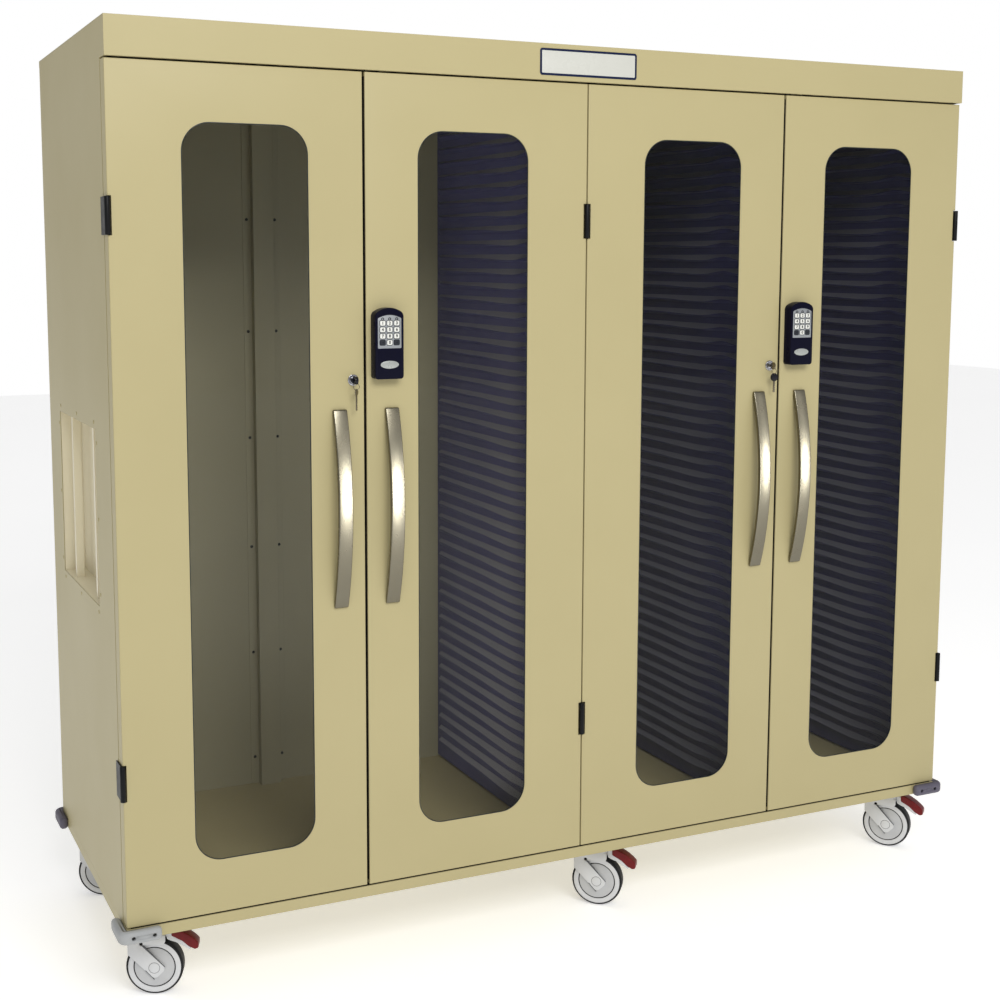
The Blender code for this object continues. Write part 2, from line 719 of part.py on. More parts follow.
def outer_hinge(side, height):
    """Corner hinge: a knuckle round the door's outer corner and a leaf on the side wall."""
    axis_x = LEFT if side < 0 else RIGHT
    r, inner, outer = HINGE_RADIUS, CLEARANCE, CLEARANCE + HINGE_LEAF
    first = pi - asin(sqrt(r ** 2 - outer ** 2) / r)
    last = 2 * pi + acos(-inner / r)
    leaf_end = CASE_FRONT + HINGE_LAP - DOOR_FACE
    path = arc(0, 0, r, first, last, HINGE_STEPS) + [(-inner, leaf_end), (-outer, leaf_end)]
    outline = [(axis_x - side * x, DOOR_FACE + y) for x, y in path]
    return prism(outline, height - HINGE_HEIGHT / 2, height + HINGE_HEIGHT / 2, "z")


def centre_hinge(height):
    """Hinge of the two middle doors: one knuckle on a web that foots on the middle post."""
    r, web, foot = HINGE_RADIUS, HINGE_WEB / 2, HINGE_FOOT_WIDTH / 2
    start = acos(-web / r)
    rear = CASE_FRONT - CLEARANCE - DOOR_FACE
    path = arc(0, 0, r, start, 3 * pi - start, HINGE_STEPS)
    path += [(web, rear - HINGE_FOOT), (foot, rear - HINGE_FOOT), (foot, rear),
             (-foot, rear), (-foot, rear - HINGE_FOOT), (-web, rear - HINGE_FOOT)]
    outline = [(MIDDLE + x, DOOR_FACE + y) for x, y in path]
    return prism(outline, height - HINGE_HEIGHT / 2, height + HINGE_HEIGHT / 2, "z")


def arched_outline(width, height, arch, corner, inset):
    """Outline with an arched top and rounded lower corners, its lower middle at (0, 0)."""
    half, low, r = width / 2 - inset, inset, corner - inset / 2
    shoulder = height - inset - arch
    points = arc(half - r, low + r, r, -pi / 2, 0, KEYPAD_STEPS)
    for k in range(2 * KEYPAD_STEPS + 1):
        share = 1 - k / KEYPAD_STEPS
        points.append((half * share, shoulder + arch * (1 - share ** 2)))
    points += arc(-half + r, low + r, r, pi, 3 * pi / 2, KEYPAD_STEPS)
    return points


def key_centres(door):
    """Return the middle of each key of a keypad."""
    x = gap_place(door, KEYPAD_FROM_GAP)
    z = KEYPAD_BOTTOM + MAT_BOTTOM + MAT_HEIGHT / 2
    for row in range(KEY_ROWS):
        for column in range(KEY_COLUMNS):
            yield (x + (column - (KEY_COLUMNS - 1) / 2) * KEY_PITCH_X,
                   z + (row - (KEY_ROWS - 1) / 2) * KEY_PITCH_Z)


def keypad_housing(door):
    """Moulded keypad case with drafted shoulders, a well for the key mat and a hole per key."""
    x = gap_place(door, KEYPAD_FROM_GAP)
    back = DOOR_FACE - CLEARANCE
    front = DOOR_FACE - KEYPAD_DEPTH
    loops = []
    for y, inset in ((back, 0), (front + KEYPAD_SHOULDER, 0), (front, KEYPAD_DRAFT)):
        path = arched_outline(KEYPAD_WIDTH, KEYPAD_HEIGHT, KEYPAD_ARCH, KEYPAD_CORNER, inset)
        loops.append([(x + u, y, KEYPAD_BOTTOM + v) for u, v in path])
    cutters = []
    y0, y1 = well_span()
    half = MAT_WIDTH / 2 + CLEARANCE
    z0 = KEYPAD_BOTTOM + MAT_BOTTOM - CLEARANCE
    cutters.append(block(x - half, x + half, y0, y1, z0, z0 + MAT_HEIGHT + 2 * CLEARANCE))
    for kx, kz in key_centres(door):
        w, h = KEY_WIDTH / 2 + KEY_GAP, KEY_HEIGHT / 2 + KEY_GAP
        cutters.append(block(kx - w, kx + w, front - CUT_OVERRUN, (y0 + y1) / 2, kz - h, kz + h))
    return cut(lofted(loops), *cutters)


def well_span():
    """Return the front and back of the well that the key mat moves in."""
    front = DOOR_FACE - KEYPAD_DEPTH + KEYPAD_WALL
    return front, front + MAT_SHEET + KEY_TRAVEL + 2 * CLEARANCE


def keypad_keys(door):
    """Rubber key mat: one thin sheet with twelve crowned keys."""
    x = gap_place(door, KEYPAD_FROM_GAP)
    front = well_span()[0] + CLEARANCE
    half, z0 = MAT_WIDTH / 2, KEYPAD_BOTTOM + MAT_BOTTOM
    sheet = [(x - half, z0), (x + half, z0), (x + half, z0 + MAT_HEIGHT),
             (x - half, z0 + MAT_HEIGHT)]
    bm = bmesh.new()
    rows = loop_faces(bm, [[(u, y, v) for u, v in sheet] for y in (front + MAT_SHEET, front)])
    bm.faces.new(rows[0])
    edges = [bm.edges.get((rows[1][i - 1], rows[1][i])) for i in range(len(sheet))]
    crown = DOOR_FACE - KEYPAD_DEPTH - KEY_PROUD
    for kx, kz in key_centres(door):
        loops = []
        for y, inset in ((front, 0), (crown + KEY_CROWN, 0), (crown, KEY_CROWN)):
            w, h = KEY_WIDTH / 2 - inset, KEY_HEIGHT / 2 - inset
            loops.append([(kx - w, y, kz - h), (kx + w, y, kz - h), (kx + w, y, kz + h),
                          (kx - w, y, kz + h)])
        key = loop_faces(bm, loops)
        bm.faces.new(key[-1])
        edges += [bm.edges.get((key[0][i - 1], key[0][i])) for i in range(len(key[0]))]
    bmesh.ops.triangle_fill(bm, edges=edges, use_beauty=True)
    return bm


def lock_bar(door):
    """Flat bar inside a door that rises from its top edge into the header."""
    x0, x1, y0, y1 = lock_bar_section(door)
    return block(x0, x1, y0, y1, LOCK_BAR_BOTTOM, DOOR_TOP)


def key_lock(door):
    """Lock plug with its key in front and its cam behind, which turn as one."""
    x, z = gap_place(door, LOCK_FROM_GAP), LOCK_HEIGHT
    head = DOOR_FACE - CLEARANCE
    profile = ((head - LOCK_HEAD, LOCK_BARREL_RADIUS), (head - LOCK_HEAD / 2, LOCK_HEAD_RADIUS),
               (head, LOCK_HEAD_RADIUS), (head, LOCK_BARREL_RADIUS),
               (DOOR_FACE + LOCK_BARREL + CAM_THICKNESS / 2, LOCK_BARREL_RADIUS))
    plug = turned(profile, (x, 0, z), LOCK_STEPS)
    near, far = cam_plane()
    half = CAM_WIDTH / 2
    cam = block(x - half, x + half, near, far, z - half, z + CAM_LENGTH)
    front = head - LOCK_HEAD - KEY_NECK
    tip = front - KEY_HEAD_LENGTH
    low, high = z - KEY_HEAD_HEIGHT / 2, z + KEY_HEAD_HEIGHT / 2
    neck = half / 2
    outline = [(head - LOCK_HEAD / 2, z - neck), (head - LOCK_HEAD / 2, z + neck),
               (front, z + neck), (front - neck, high), (tip + neck, high), (tip, high - neck),
               (tip, low + neck), (tip + neck, low), (front - neck, low), (front, z - neck)]
    hole_y, hole_z = ring_hole()
    last = 2 * pi * KEY_HOLE_STEPS / (KEY_HOLE_STEPS + 1)
    hole = arc(hole_y, hole_z, KEY_HOLE_RADIUS, 0, last, KEY_HOLE_STEPS)
    thick = KEY_THICKNESS / 2
    key = prism(outline, x - thick, x + thick, "x", [hole])
    return unite(plug, cam, key)


def ring_hole():
    """Return the y and z of the hole in a key's head."""
    tip = DOOR_FACE - CLEARANCE - LOCK_HEAD - KEY_NECK - KEY_HEAD_LENGTH
    return tip + KEY_HOLE_INSET + KEY_HOLE_RADIUS, LOCK_HEIGHT - KEY_HEAD_HEIGHT / 4


def ring_seat():
    """Return the y and z at which the ring's wire rests on the hole's lower edge."""
    y, z = ring_hole()
    return y, z - KEY_HOLE_RADIUS + 2 * RING_WIRE


def spare_key(door):
    """Wire ring through the key's head with a spare key hanging from it."""
    x = gap_place(door, LOCK_FROM_GAP)
    y, top = ring_seat()
    centre = top - RING_RADIUS
    w = RING_WIRE
    section = ((RING_RADIUS - w, -w), (RING_RADIUS + w, -w), (RING_RADIUS + w, w),
               (RING_RADIUS - w, w))
    loops = []
    for k in range(RING_STEPS):
        turn = 2 * pi * k / RING_STEPS + pi / 2
        loops.append([(x + r * cos(turn), y + dy, centre + r * sin(turn)) for r, dy in section])
    ring = tube_of_loops(loops)
    r, half, t = SPARE_HEAD_RADIUS, SPARE_BLADE / 2, SPARE_THICKNESS / 2
    hub = centre - RING_RADIUS - r + w
    start = asin(half / r) - pi / 2
    outline = arc(x, hub, r, start, pi - start, BEARING_STEPS // 2)
    tip = hub - SPARE_LENGTH
    outline += [(x - half, tip + half), (x, tip), (x + half, tip + half)]
    return unite(ring, prism(outline, y - t, y + t, "y"))


def stem_place(name):
    """Return the x and y of a caster's swivel axis."""
    end, side = name.split("_")
    x = {"left": LEFT + LEFT_STEM_INSET, "middle": MIDDLE + MIDDLE_STEM_OFFSET,
         "right": RIGHT - RIGHT_STEM_INSET}[side]
    y = HEADER_FACE + CASTER_FRONT_INSET if end == "front" else REAR_FACE - CASTER_REAR_INSET
    return x, y


def caster_fork():
    """Fork round its swivel axis: a crown, two legs with round eyes and a bearing on top."""
    half = WHEEL_WIDTH / 2 + FORK_GAP + FORK_LEG
    inner = half - FORK_LEG
    crown = [(FORK_RIGHT, FORK_CROWN), (FORK_RIGHT, FORK_TOP - FORK_LEG),
             (FORK_RIGHT - FORK_LEG, FORK_TOP), (-FORK_LEFT, FORK_TOP),
             (-FORK_LEFT, FORK_CROWN)]
    eye = arc(CASTER_TRAIL, WHEEL_RADIUS, FORK_EYE, -pi, 0, FORK_EYE_STEPS)
    whole = crown + eye
    bm = bmesh.new()
    rows = [[bm.verts.new((x, y, z)) for x, z in whole] for y in (-half, -inner, inner, half)]
    last_crown = len(crown) - 1
    for span, (near, far) in enumerate(zip(rows, rows[1:])):
        for k in range(len(whole)):
            j = (k + 1) % len(whole)
            if span == 1 and not k < last_crown:
                continue
            bm.faces.new((near[k], near[j], far[j], far[k]))
    bm.faces.new((rows[1][0], rows[1][last_crown], rows[2][last_crown], rows[2][0]))
    for row in (rows[0], rows[-1]):
        bm.faces.new(row)
    for row in (rows[1], rows[2]):
        bm.faces.new([row[0], *row[last_crown:]])
    top = BASE_BOTTOM - CLEARANCE
    bearing = turned(((FORK_TOP - FORK_LEG, BEARING_RADIUS), (top, BEARING_RADIUS)), (0, 0, 0),
                     BEARING_STEPS, "z")
    return unite(bm, bearing)


def caster_wheel():
    """Wheel round its axle: a rounded tread, a dished side and a hub that meets the legs."""
    half, hub = WHEEL_WIDTH / 2, WHEEL_WIDTH / 2 + FORK_GAP - CLEARANCE
    r, soft = WHEEL_RADIUS, TREAD_ROUND
    right = [(hub, WHEEL_HUB_RADIUS), (half - WHEEL_DISC_INSET, WHEEL_HUB_RADIUS + soft),
             (half, WHEEL_DISC_RADIUS), (half, r - soft), (half - soft, r)]
    profile = [(-y, radius) for y, radius in right] + right[::-1]
    return turned(profile, (0, 0, 0), WHEEL_STEPS)


def brake_pedal():
    """Foot pedal round the swivel axis, sloping down and out from the fork's crown."""
    x0, x1, z0 = PEDAL_START, PEDAL_REACH, PEDAL_TOP
    drop, t, toe = PEDAL_DROP, PEDAL_THICKNESS, PEDAL_TOE
    outline = [(x0, z0), (x1 - toe, z0 - drop), (x1, z0 - drop - toe),
               (x1 - toe / 2, z0 - drop - toe - t / 2), (x1 - 2 * toe, z0 - drop - t),
               (x0 + toe / 2, z0 - t), (x0, z0 - t / 2)]
    half = PEDAL_WIDTH / 2
    arm = [(FORK_RIGHT + CLEARANCE, z0 - t / 2), (FORK_RIGHT + CLEARANCE, z0 - t / 4),
           (x0 + toe, z0 - t / 4), (x0 + toe, z0 - t / 2)]
    quarter = half / 2
    return unite(prism(outline, -half, half, "y"), prism(arm, -quarter, quarter, "y"))


def build_case(beige, black, grey_dark, grey_light, liner_black):
    """Make everything that stands still: the case, its liners, bumpers and hinges."""
    add_part("base_pan", base_pan(), beige)
    add_part("left_side_panel", side_panel(-1), beige)
    add_part("right_side_panel", side_panel(1), beige)
    add_part("back_panel", back_panel(), beige)
    add_part("top_cover", top_cover(), beige)
    add_part("side_pocket", side_pocket(), beige)

    partition = [(MIDDLE + x, y)
                 for x, y in flanged_post(PARTITION_WIDTH, CASE_FRONT, BACK_INNER - CLEARANCE)]
    add_part("centre_partition", prism(partition, PANEL_BOTTOM, PANEL_TOP, "z"), beige)
    rear = BACK_INNER - CHANNEL_DEPTH - CLEARANCE
    divider = [(RIGHT_CHANNEL_X + x, y)
               for x, y in flanged_post(DIVIDER_WIDTH, CASE_FRONT, rear)]
    add_part("column_divider", prism(divider, PANEL_BOTTOM, PANEL_TOP, "z"), beige)

    partition_side = PARTITION_WIDTH / 2 + CLEARANCE
    divider_side = DIVIDER_WIDTH / 2 + CLEARANCE
    backs = {"partition_left_liner": (MIDDLE - partition_side, -1),
             "partition_right_liner": (MIDDLE + partition_side, 1),
             "divider_left_liner": (RIGHT_CHANNEL_X - divider_side, -1),
             "divider_right_liner": (RIGHT_CHANNEL_X + divider_side, 1),
             "right_wall_liner": (RIGHT - WALL_FLANGE - CLEARANCE, -1)}
    for name, (back_x, side) in backs.items():
        seat = BACK_INNER - SHEET if name.startswith("divider") else BACK_INNER
        add_part(name, liner(back_x, side, seat - CLEARANCE), liner_black)

    for side, side_name in ((-1, "left"), (1, "right")):
        for end, end_name in ((-1, "front"), (1, "rear")):
            finish = grey_light if (side, end) == (-1, -1) else grey_dark
            add_part(f"{end_name}_{side_name}_bumper", bumper(side, end), finish, smooth=35)

    for name, height in (("top", TOP_HINGE_HEIGHT), ("lower", LOW_HINGE_HEIGHT)):
        add_part(f"{name}_left_hinge", outer_hinge(-1, height), black, smooth=40)
        add_part(f"{name}_centre_hinge", centre_hinge(height), black, smooth=40)
        add_part(f"{name}_right_hinge", outer_hinge(1, height), black, smooth=40)


def build_doors(beige, glass, nickel, navy, rubber_white, steel, chrome):
    """Make the four doors with all that they carry."""
    for door in range(1, DOOR_COUNT + 1):
        axis_x = door_edges(door)[2]
        pivot = (axis_x, DOOR_FACE, DOOR_BOTTOM)
        panel = add_part(f"door_{door}", door_panel(door), beige, pivot, smooth=30)
        add_part(f"door_{door}_glass", glass_pane(door), glass, pivot, panel, smooth=40)
        add_part(f"door_{door}_handle", handle(door), nickel, pivot, panel, smooth=30)
        if door % 2 == 1:
            lock_x = gap_place(door, LOCK_FROM_GAP)
            lock = add_part(f"door_{door}_key_lock", key_lock(door), chrome,
                            (lock_x, DOOR_FACE, LOCK_HEIGHT), panel, smooth=40)
            y, z = ring_seat()
            add_part(f"door_{door}_spare_key", spare_key(door), chrome, (lock_x, y, z), lock,
                     smooth=40)
        else:
            add_part(f"door_{door}_keypad_housing", keypad_housing(door), navy, pivot, panel,
                     smooth=30)
            pad_x = gap_place(door, KEYPAD_FROM_GAP)
            add_part(f"door_{door}_keypad_keys", keypad_keys(door), rubber_white,
                     (pad_x, well_span()[0], KEYPAD_BOTTOM + MAT_BOTTOM), panel)
            x0, x1, y0, _ = lock_bar_section(door)
            add_part(f"door_{door}_lock_bar", lock_bar(door), steel,
                     ((x0 + x1) / 2, y0, LOCK_BAR_BOTTOM), panel)


def build_casters(plastic, tyre, red):
    """Make the six casters; the three at the front have brake pedals."""
    fork_mesh = to_mesh(caster_fork(), "caster_fork")
    wheel_mesh = to_mesh(caster_wheel(), "caster_wheel")
    pedal_mesh = to_mesh(brake_pedal(), "brake_pedal")
    pedal_pivot = Vector((FORK_RIGHT, 0, PEDAL_TOP - PEDAL_THICKNESS / 2))
    pedal_mesh.transform(Matrix.Translation(-pedal_pivot))
    turns = {"left": LEFT_CASTER_TURN, "middle": MIDDLE_CASTER_TURN,
             "right": RIGHT_CASTER_TURN}
    for end in ("front", "rear"):
        for side in ("left", "middle", "right"):
            name = f"{end}_{side}"
            fork = add_part(f"{name}_caster_fork", fork_mesh, plastic, (*stem_place(name), 0),
                            smooth=35)
            fork.rotation_euler.z = turns[side]
            wheel = add_part(f"{name}_caster_wheel", wheel_mesh, tyre,
                             (CASTER_TRAIL, 0, WHEEL_RADIUS), smooth=35)
            wheel.parent = fork
            if end == "front":
                pedal = add_part(f"{name}_brake_pedal", pedal_mesh, red, pedal_pivot, smooth=35)
                pedal.parent = fork


def main():
    """Build the whole cabinet."""
    clear_scene()
    beige = make_finish("cream_powder_coat", (0.56, 0.50, 0.32), 0.42)
    black = make_finish("black_hinge_plastic", (0.012, 0.012, 0.015), 0.45)
    grey_dark = make_finish("dark_bumper_rubber", (0.10, 0.095, 0.12), 0.6)
    grey_light = make_finish("light_bumper_rubber", (0.36, 0.37, 0.36), 0.6)
    liner_black = make_finish("black_liner_plastic", (0.022, 0.022, 0.032), 0.4)
    build_case(beige, black, grey_dark, grey_light, liner_black)
    glass = make_finish("clear_glass", (0.85, 0.95, 0.92), 0.03, alpha=0.25)
    nickel = make_finish("satin_nickel", (0.60, 0.57, 0.50), 0.30, 1.0)
    navy = make_finish("navy_keypad_plastic", (0.012, 0.012, 0.035), 0.35)
    rubber_white = make_finish("white_key_rubber", (0.80, 0.80, 0.76), 0.55)
    steel = make_finish("plated_steel", (0.55, 0.55, 0.56), 0.35, 1.0)
    chrome = make_finish("polished_chrome", (0.75, 0.75, 0.76), 0.15, 1.0)
    build_doors(beige, glass, nickel, navy, rubber_white, steel, chrome)
    plastic = make_finish("light_caster_plastic", (0.60, 0.60, 0.61), 0.4)
    tyre = make_finish("dark_tyre_rubber", (0.025, 0.025, 0.025), 0.6)
    red = make_finish("red_pedal_plastic", (0.30, 0.018, 0.018), 0.35)
    build_casters(plastic, tyre, red)


main()
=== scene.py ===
"""The looks of the mobile storage cabinet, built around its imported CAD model.

Units are metres, +Z is up and the doors face -Y. Every sub-assembly is a class that
takes its place from the CAD nodes, models its pieces and gives them their finishes.
"""

import logging
from contextlib import contextmanager
from dataclasses import dataclass
from enum import Enum
from math import atan2, cos, pi, radians, sqrt
from typing import Any, Callable, Iterator, Sequence

import bmesh
import bpy
from mathutils import Euler, Matrix, Vector


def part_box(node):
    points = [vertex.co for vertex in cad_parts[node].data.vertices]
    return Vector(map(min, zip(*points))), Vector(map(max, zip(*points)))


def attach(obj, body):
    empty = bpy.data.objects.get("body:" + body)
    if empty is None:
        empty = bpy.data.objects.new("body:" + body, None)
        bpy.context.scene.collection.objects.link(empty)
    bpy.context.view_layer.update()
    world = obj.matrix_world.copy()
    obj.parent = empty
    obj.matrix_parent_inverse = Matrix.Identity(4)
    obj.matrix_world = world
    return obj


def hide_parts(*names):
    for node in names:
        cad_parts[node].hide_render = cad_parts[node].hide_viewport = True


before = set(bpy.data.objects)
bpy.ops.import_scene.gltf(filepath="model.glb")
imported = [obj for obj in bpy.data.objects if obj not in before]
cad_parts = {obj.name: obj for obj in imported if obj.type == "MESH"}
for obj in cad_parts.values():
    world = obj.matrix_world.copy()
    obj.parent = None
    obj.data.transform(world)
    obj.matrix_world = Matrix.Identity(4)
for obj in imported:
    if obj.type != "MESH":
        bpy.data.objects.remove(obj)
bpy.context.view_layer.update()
log = logging.getLogger("cabinet")

MM = 0.001
EPS = 0.00005           # two places closer than this are the same place
ALONG = 0.9             # a direction with more than this share on an axis runs along it
FLAT = radians(0.5)     # two faces that meet at less than this are one flat face
LOCK_DROP = 40 * MM     # from the top of a key lock's node down to its barrel's axis

Obj = bpy.types.Object
Place = Sequence[float]
Test = Callable[[Vector, Vector], bool]


# The workshop: how pieces are started, shaped and hung on their bodies

class Kind(Enum):
    """What an edit works on."""

    VERT = "VERT"
    EDGE = "EDGE"
    FACE = "FACE"


class Axis(Enum):
    """A direction along one of the frame's axes."""

    X = (0.0, pi / 2, 0.0)
    Y = (pi / 2, 0.0, 0.0)
    Z = (0.0, 0.0, 0.0)


def deselect() -> None:
    """Leave nothing selected."""
    bpy.ops.object.select_all(action="DESELECT")


def take(*pieces: Obj) -> None:
    """Select some pieces and nothing else; the first becomes the active one.

    Args:
        *pieces: the pieces to select.
    """
    deselect()
    for piece in pieces:
        piece.select_set(True)
    bpy.context.view_layer.objects.active = pieces[0]


def settle(piece: Obj) -> Obj:
    """Move a piece's place, turn and size into its mesh.

    Args:
        piece: the piece to settle.

    Returns:
        The same piece, with its object at the origin.
    """
    take(piece)
    bpy.ops.object.transform_apply(location=True, rotation=True, scale=True)
    return piece


def start_box(low: Place, high: Place) -> Obj:
    """Add a box between two corners, as the start of a piece.

    Args:
        low: its lowest corner.
        high: its highest corner.

    Returns:
        The new piece.
    """
    deselect()
    low, high = Vector(low), Vector(high)
    bpy.ops.mesh.primitive_cube_add(size=1, location=(low + high) / 2)
    piece = bpy.context.active_object
    piece.scale = high - low
    return settle(piece)


def start_rod(centre: Place, radius: float, depth: float, axis: Axis, steps: int = 32) -> Obj:
    """Add a cylinder, as the start of a piece.

    Args:
        centre: the middle of the cylinder.
        radius: its radius.
        depth: its length along the axis.
        axis: the axis it lies along.
        steps: how many sides it has.

    Returns:
        The new piece.
    """
    deselect()
    bpy.ops.mesh.primitive_cylinder_add(vertices=steps, radius=radius, depth=depth,
                                        location=centre, rotation=axis.value)
    return settle(bpy.context.active_object)


@contextmanager
def editing(piece: Obj, kind: Kind) -> Iterator[None]:
    """Open a piece in edit mode, and close it again afterwards.

    Args:
        piece: the piece to open.
        kind: what is selected while it is open.
    """
    take(piece)
    bpy.ops.object.mode_set(mode="EDIT")
    bpy.ops.mesh.select_mode(type=kind.value)
    yield
    bpy.ops.object.mode_set(mode="OBJECT")


def pick(piece: Obj, kind: Kind, test: Test) -> int:
    """Select, in edit mode, the parts of a mesh that pass a test and nothing else.

    Args:
        piece: the piece that is open.
        kind: what is tested.
        test: gets the middle and the normal, or an edge's direction.

    Returns:
        How many passed.
    """
    bm = bmesh.from_edit_mesh(piece.data)
    for group in (bm.verts, bm.edges, bm.faces):
        for item in group:
            item.select = False
    found = 0
    for item in {Kind.VERT: bm.verts, Kind.EDGE: bm.edges, Kind.FACE: bm.faces}[kind]:
        if kind is Kind.VERT:
            middle, way = item.co, item.normal
        elif kind is Kind.EDGE:
            middle = (item.verts[0].co + item.verts[1].co) / 2
            way = (item.verts[1].co - item.verts[0].co).normalized()
        else:
            middle, way = item.calc_center_median(), item.normal
        if test(middle, way):
            item.select_set(True)
            found += 1
    bm.select_flush_mode()
    bmesh.update_edit_mesh(piece.data)
    return found


def round_edges(piece: Obj, test: Test, radius: float, segments: int = 3) -> Obj:
    """Round the edges of a piece that pass a test.

    Args:
        piece: the piece.
        test: gets an edge's middle and its direction.
        radius: the radius of the round.
        segments: how many facets it has.

    Returns:
        The same piece.
    """
    with editing(piece, Kind.EDGE):
        if pick(piece, Kind.EDGE, test):
            bpy.ops.mesh.bevel(offset=radius, segments=segments, profile=0.5, affect="EDGES",
                               clamp_overlap=True)
    return piece


def modify(piece: Obj, kind: str, **settings: Any) -> Obj:
    """Add a modifier with its settings and apply it.

    Args:
        piece: the piece.
        kind: the modifier's type.
        **settings: the modifier's own settings.

    Returns:
        The same piece.
    """
    take(piece)
    step = piece.modifiers.new("step", kind)
    for key, value in settings.items():
        setattr(step, key, value)
    bpy.ops.object.modifier_apply(modifier=step.name)
    return piece


def soften(piece: Obj, width: float, segments: int = 2, angle: float = 30) -> Obj:
    """Round every sharp edge of a piece by the same width, and smooth its shading.

    Args:
        piece: the piece.
        width: how wide each round is.
        segments: how many facets it has.
        angle: how sharp an edge has to be, in degrees.

    Returns:
        The same piece.
    """
    modify(piece, "BEVEL", width=width, segments=segments, limit_method="ANGLE",
           angle_limit=radians(angle), use_clamp_overlap=True)
    return smooth(piece, angle)


def smooth(piece: Obj, angle: float = 35) -> Obj:
    """Shade a piece smooth up to an angle in degrees.

    Args:
        piece: the piece.
        angle: edges that are sharper stay hard.

    Returns:
        The same piece.
    """
    take(piece)
    bpy.ops.object.shade_smooth_by_angle(angle=radians(angle))
    return piece


def carve(piece: Obj, *tools: Obj) -> Obj:
    """Cut the tools out of a piece, and throw them away.

    Args:
        piece: the piece.
        *tools: what is cut out of it.

    Returns:
        The same piece.
    """
    for tool in tools:
        modify(piece, "BOOLEAN", operation="DIFFERENCE", solver="EXACT", object=tool)
        bpy.data.objects.remove(tool, do_unlink=True)
    return piece


def fuse(piece: Obj, *others: Obj) -> Obj:
    """Unite a piece with others that overlap it.

    Args:
        piece: the piece.
        *others: what becomes part of it.

    Returns:
        The same piece.
    """
    for other in others:
        modify(piece, "BOOLEAN", operation="UNION", solver="EXACT", object=other)
        bpy.data.objects.remove(other, do_unlink=True)
    return piece


def join(first: Obj, *others: Obj) -> Obj:
    """Make several loose shells one piece.

    Args:
        first: the shell that the others go into.
        *others: the other shells.

    Returns:
        The first, now with all of them.
    """
    if others:
        take(first, *others)
        bpy.ops.object.join()
    return first


def twin(piece: Obj, place: Vector = Vector(), turn: float = 0.0) -> Obj:
    """Copy a piece with a mesh of its own, turned about Z and then moved.

    Args:
        piece: the piece to copy.
        place: how far the copy is moved.
        turn: its turn about the Z axis.

    Returns:
        The copy.
    """
    copy = piece.copy()
    copy.data = piece.data.copy()
    bpy.context.collection.objects.link(copy)
    copy.matrix_world = Matrix.Translation(place) @ Matrix.Rotation(turn, 4, "Z")
    return settle(copy)


def merged_node(node: str) -> Obj:
    """Copy a CAD node, with its loose triangles merged into whole faces.

    Args:
        node: the CAD node's name.

    Returns:
        The copy.
    """
    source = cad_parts[node]
    copy = bpy.data.objects.new("copy", source.data.copy())
    bpy.context.collection.objects.link(copy)
    with editing(copy, Kind.VERT):
        bpy.ops.mesh.select_all(action="SELECT")
        bpy.ops.mesh.remove_doubles(threshold=EPS)
        bpy.ops.mesh.dissolve_limited(angle_limit=FLAT)
        bpy.ops.mesh.select_all(action="SELECT")
        bpy.ops.mesh.normals_make_consistent(inside=False)
    return copy


def arched_block(low: Place, high: Place, arch: float, corner: float, cuts: int = 9) -> Obj:
    """Model an upright block whose top is arched and whose lower corners are round.

    Args:
        low: its lowest corner.
        high: its highest corner, at the crown of the arch.
        arch: how far the arch rises above its shoulders.
        corner: the radius of the corners.
        cuts: how often the arch is divided.

    Returns:
        The new piece.
    """
    low, high = Vector(low), Vector(high)
    shoulder = high.z - arch
    middle, half = (low.x + high.x) / 2, (high.x - low.x) / 2
    piece = start_box(low, Vector((high.x, high.y, shoulder)))
    with editing(piece, Kind.EDGE):
        pick(piece, Kind.EDGE, lambda mid, way: abs(way.x) > ALONG)
        bpy.ops.mesh.subdivide(number_cuts=cuts)
    with editing(piece, Kind.VERT):
        for k in range(1, cuts + 1):
            share = 2 * k / (cuts + 1) - 1
            x = middle + share * half
            pick(piece, Kind.VERT,
                 lambda mid, way: abs(mid.x - x) < EPS and mid.z > shoulder - EPS)
            bpy.ops.transform.translate(value=(0, 0, arch * (1 - share ** 2)))
    if corner > 0:
        round_edges(piece, lambda mid, way: abs(way.y) > ALONG
                    and abs(abs(mid.x - middle) - half) < EPS, corner, 4)
    return piece


def stationed_block(stations: Sequence[tuple[float, float, float]], half: float) -> Obj:
    """Model a block whose underside and top follow a row of stations along X.

    Args:
        stations: x, underside and top of each station, in metres.
        half: half the block's width along Y.

    Returns:
        The block.
    """
    last = len(stations) - 1
    block = start_box((1, -half, 1), (1 + last, half, 2))
    with editing(block, Kind.EDGE):
        pick(block, Kind.EDGE, lambda mid, way: abs(way.x) > ALONG)
        bpy.ops.mesh.subdivide(number_cuts=last - 1)
    with editing(block, Kind.VERT):
        for k, (x, *levels) in enumerate(stations):
            for start, goal in enumerate(levels, 1):
                pick(block, Kind.VERT, lambda mid, way: abs(mid.x - 1 - k) < EPS
                     and abs(mid.z - start) < EPS)
                bpy.ops.transform.translate(value=(x - 1 - k, 0, goal - start))
    return block


def finish_piece(piece: Obj, name: str, body: str, slot: str, finish: "Finish",
                 *replaced: str) -> Obj:
    """Name a piece, give it its finish and hang it on its CAD body.

    Args:
        piece: the finished piece.
        name: the name it gets.
        body: the CAD body that it moves with.
        slot: the record's material slot that it belongs to; not used.
        finish: what it is coated with or made of.
        *replaced: the CAD nodes that it stands for.

    Returns:
        The same piece.
    """
    piece.name = name
    piece.data.name = name
    piece.data.materials.clear()
    piece.data.materials.append(finish.material())
    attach(piece, body)
    if replaced:
        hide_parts(*replaced)
    log.info("%-32s rides on %-24s %6d faces", name, body, len(piece.data.polygons))
    return piece


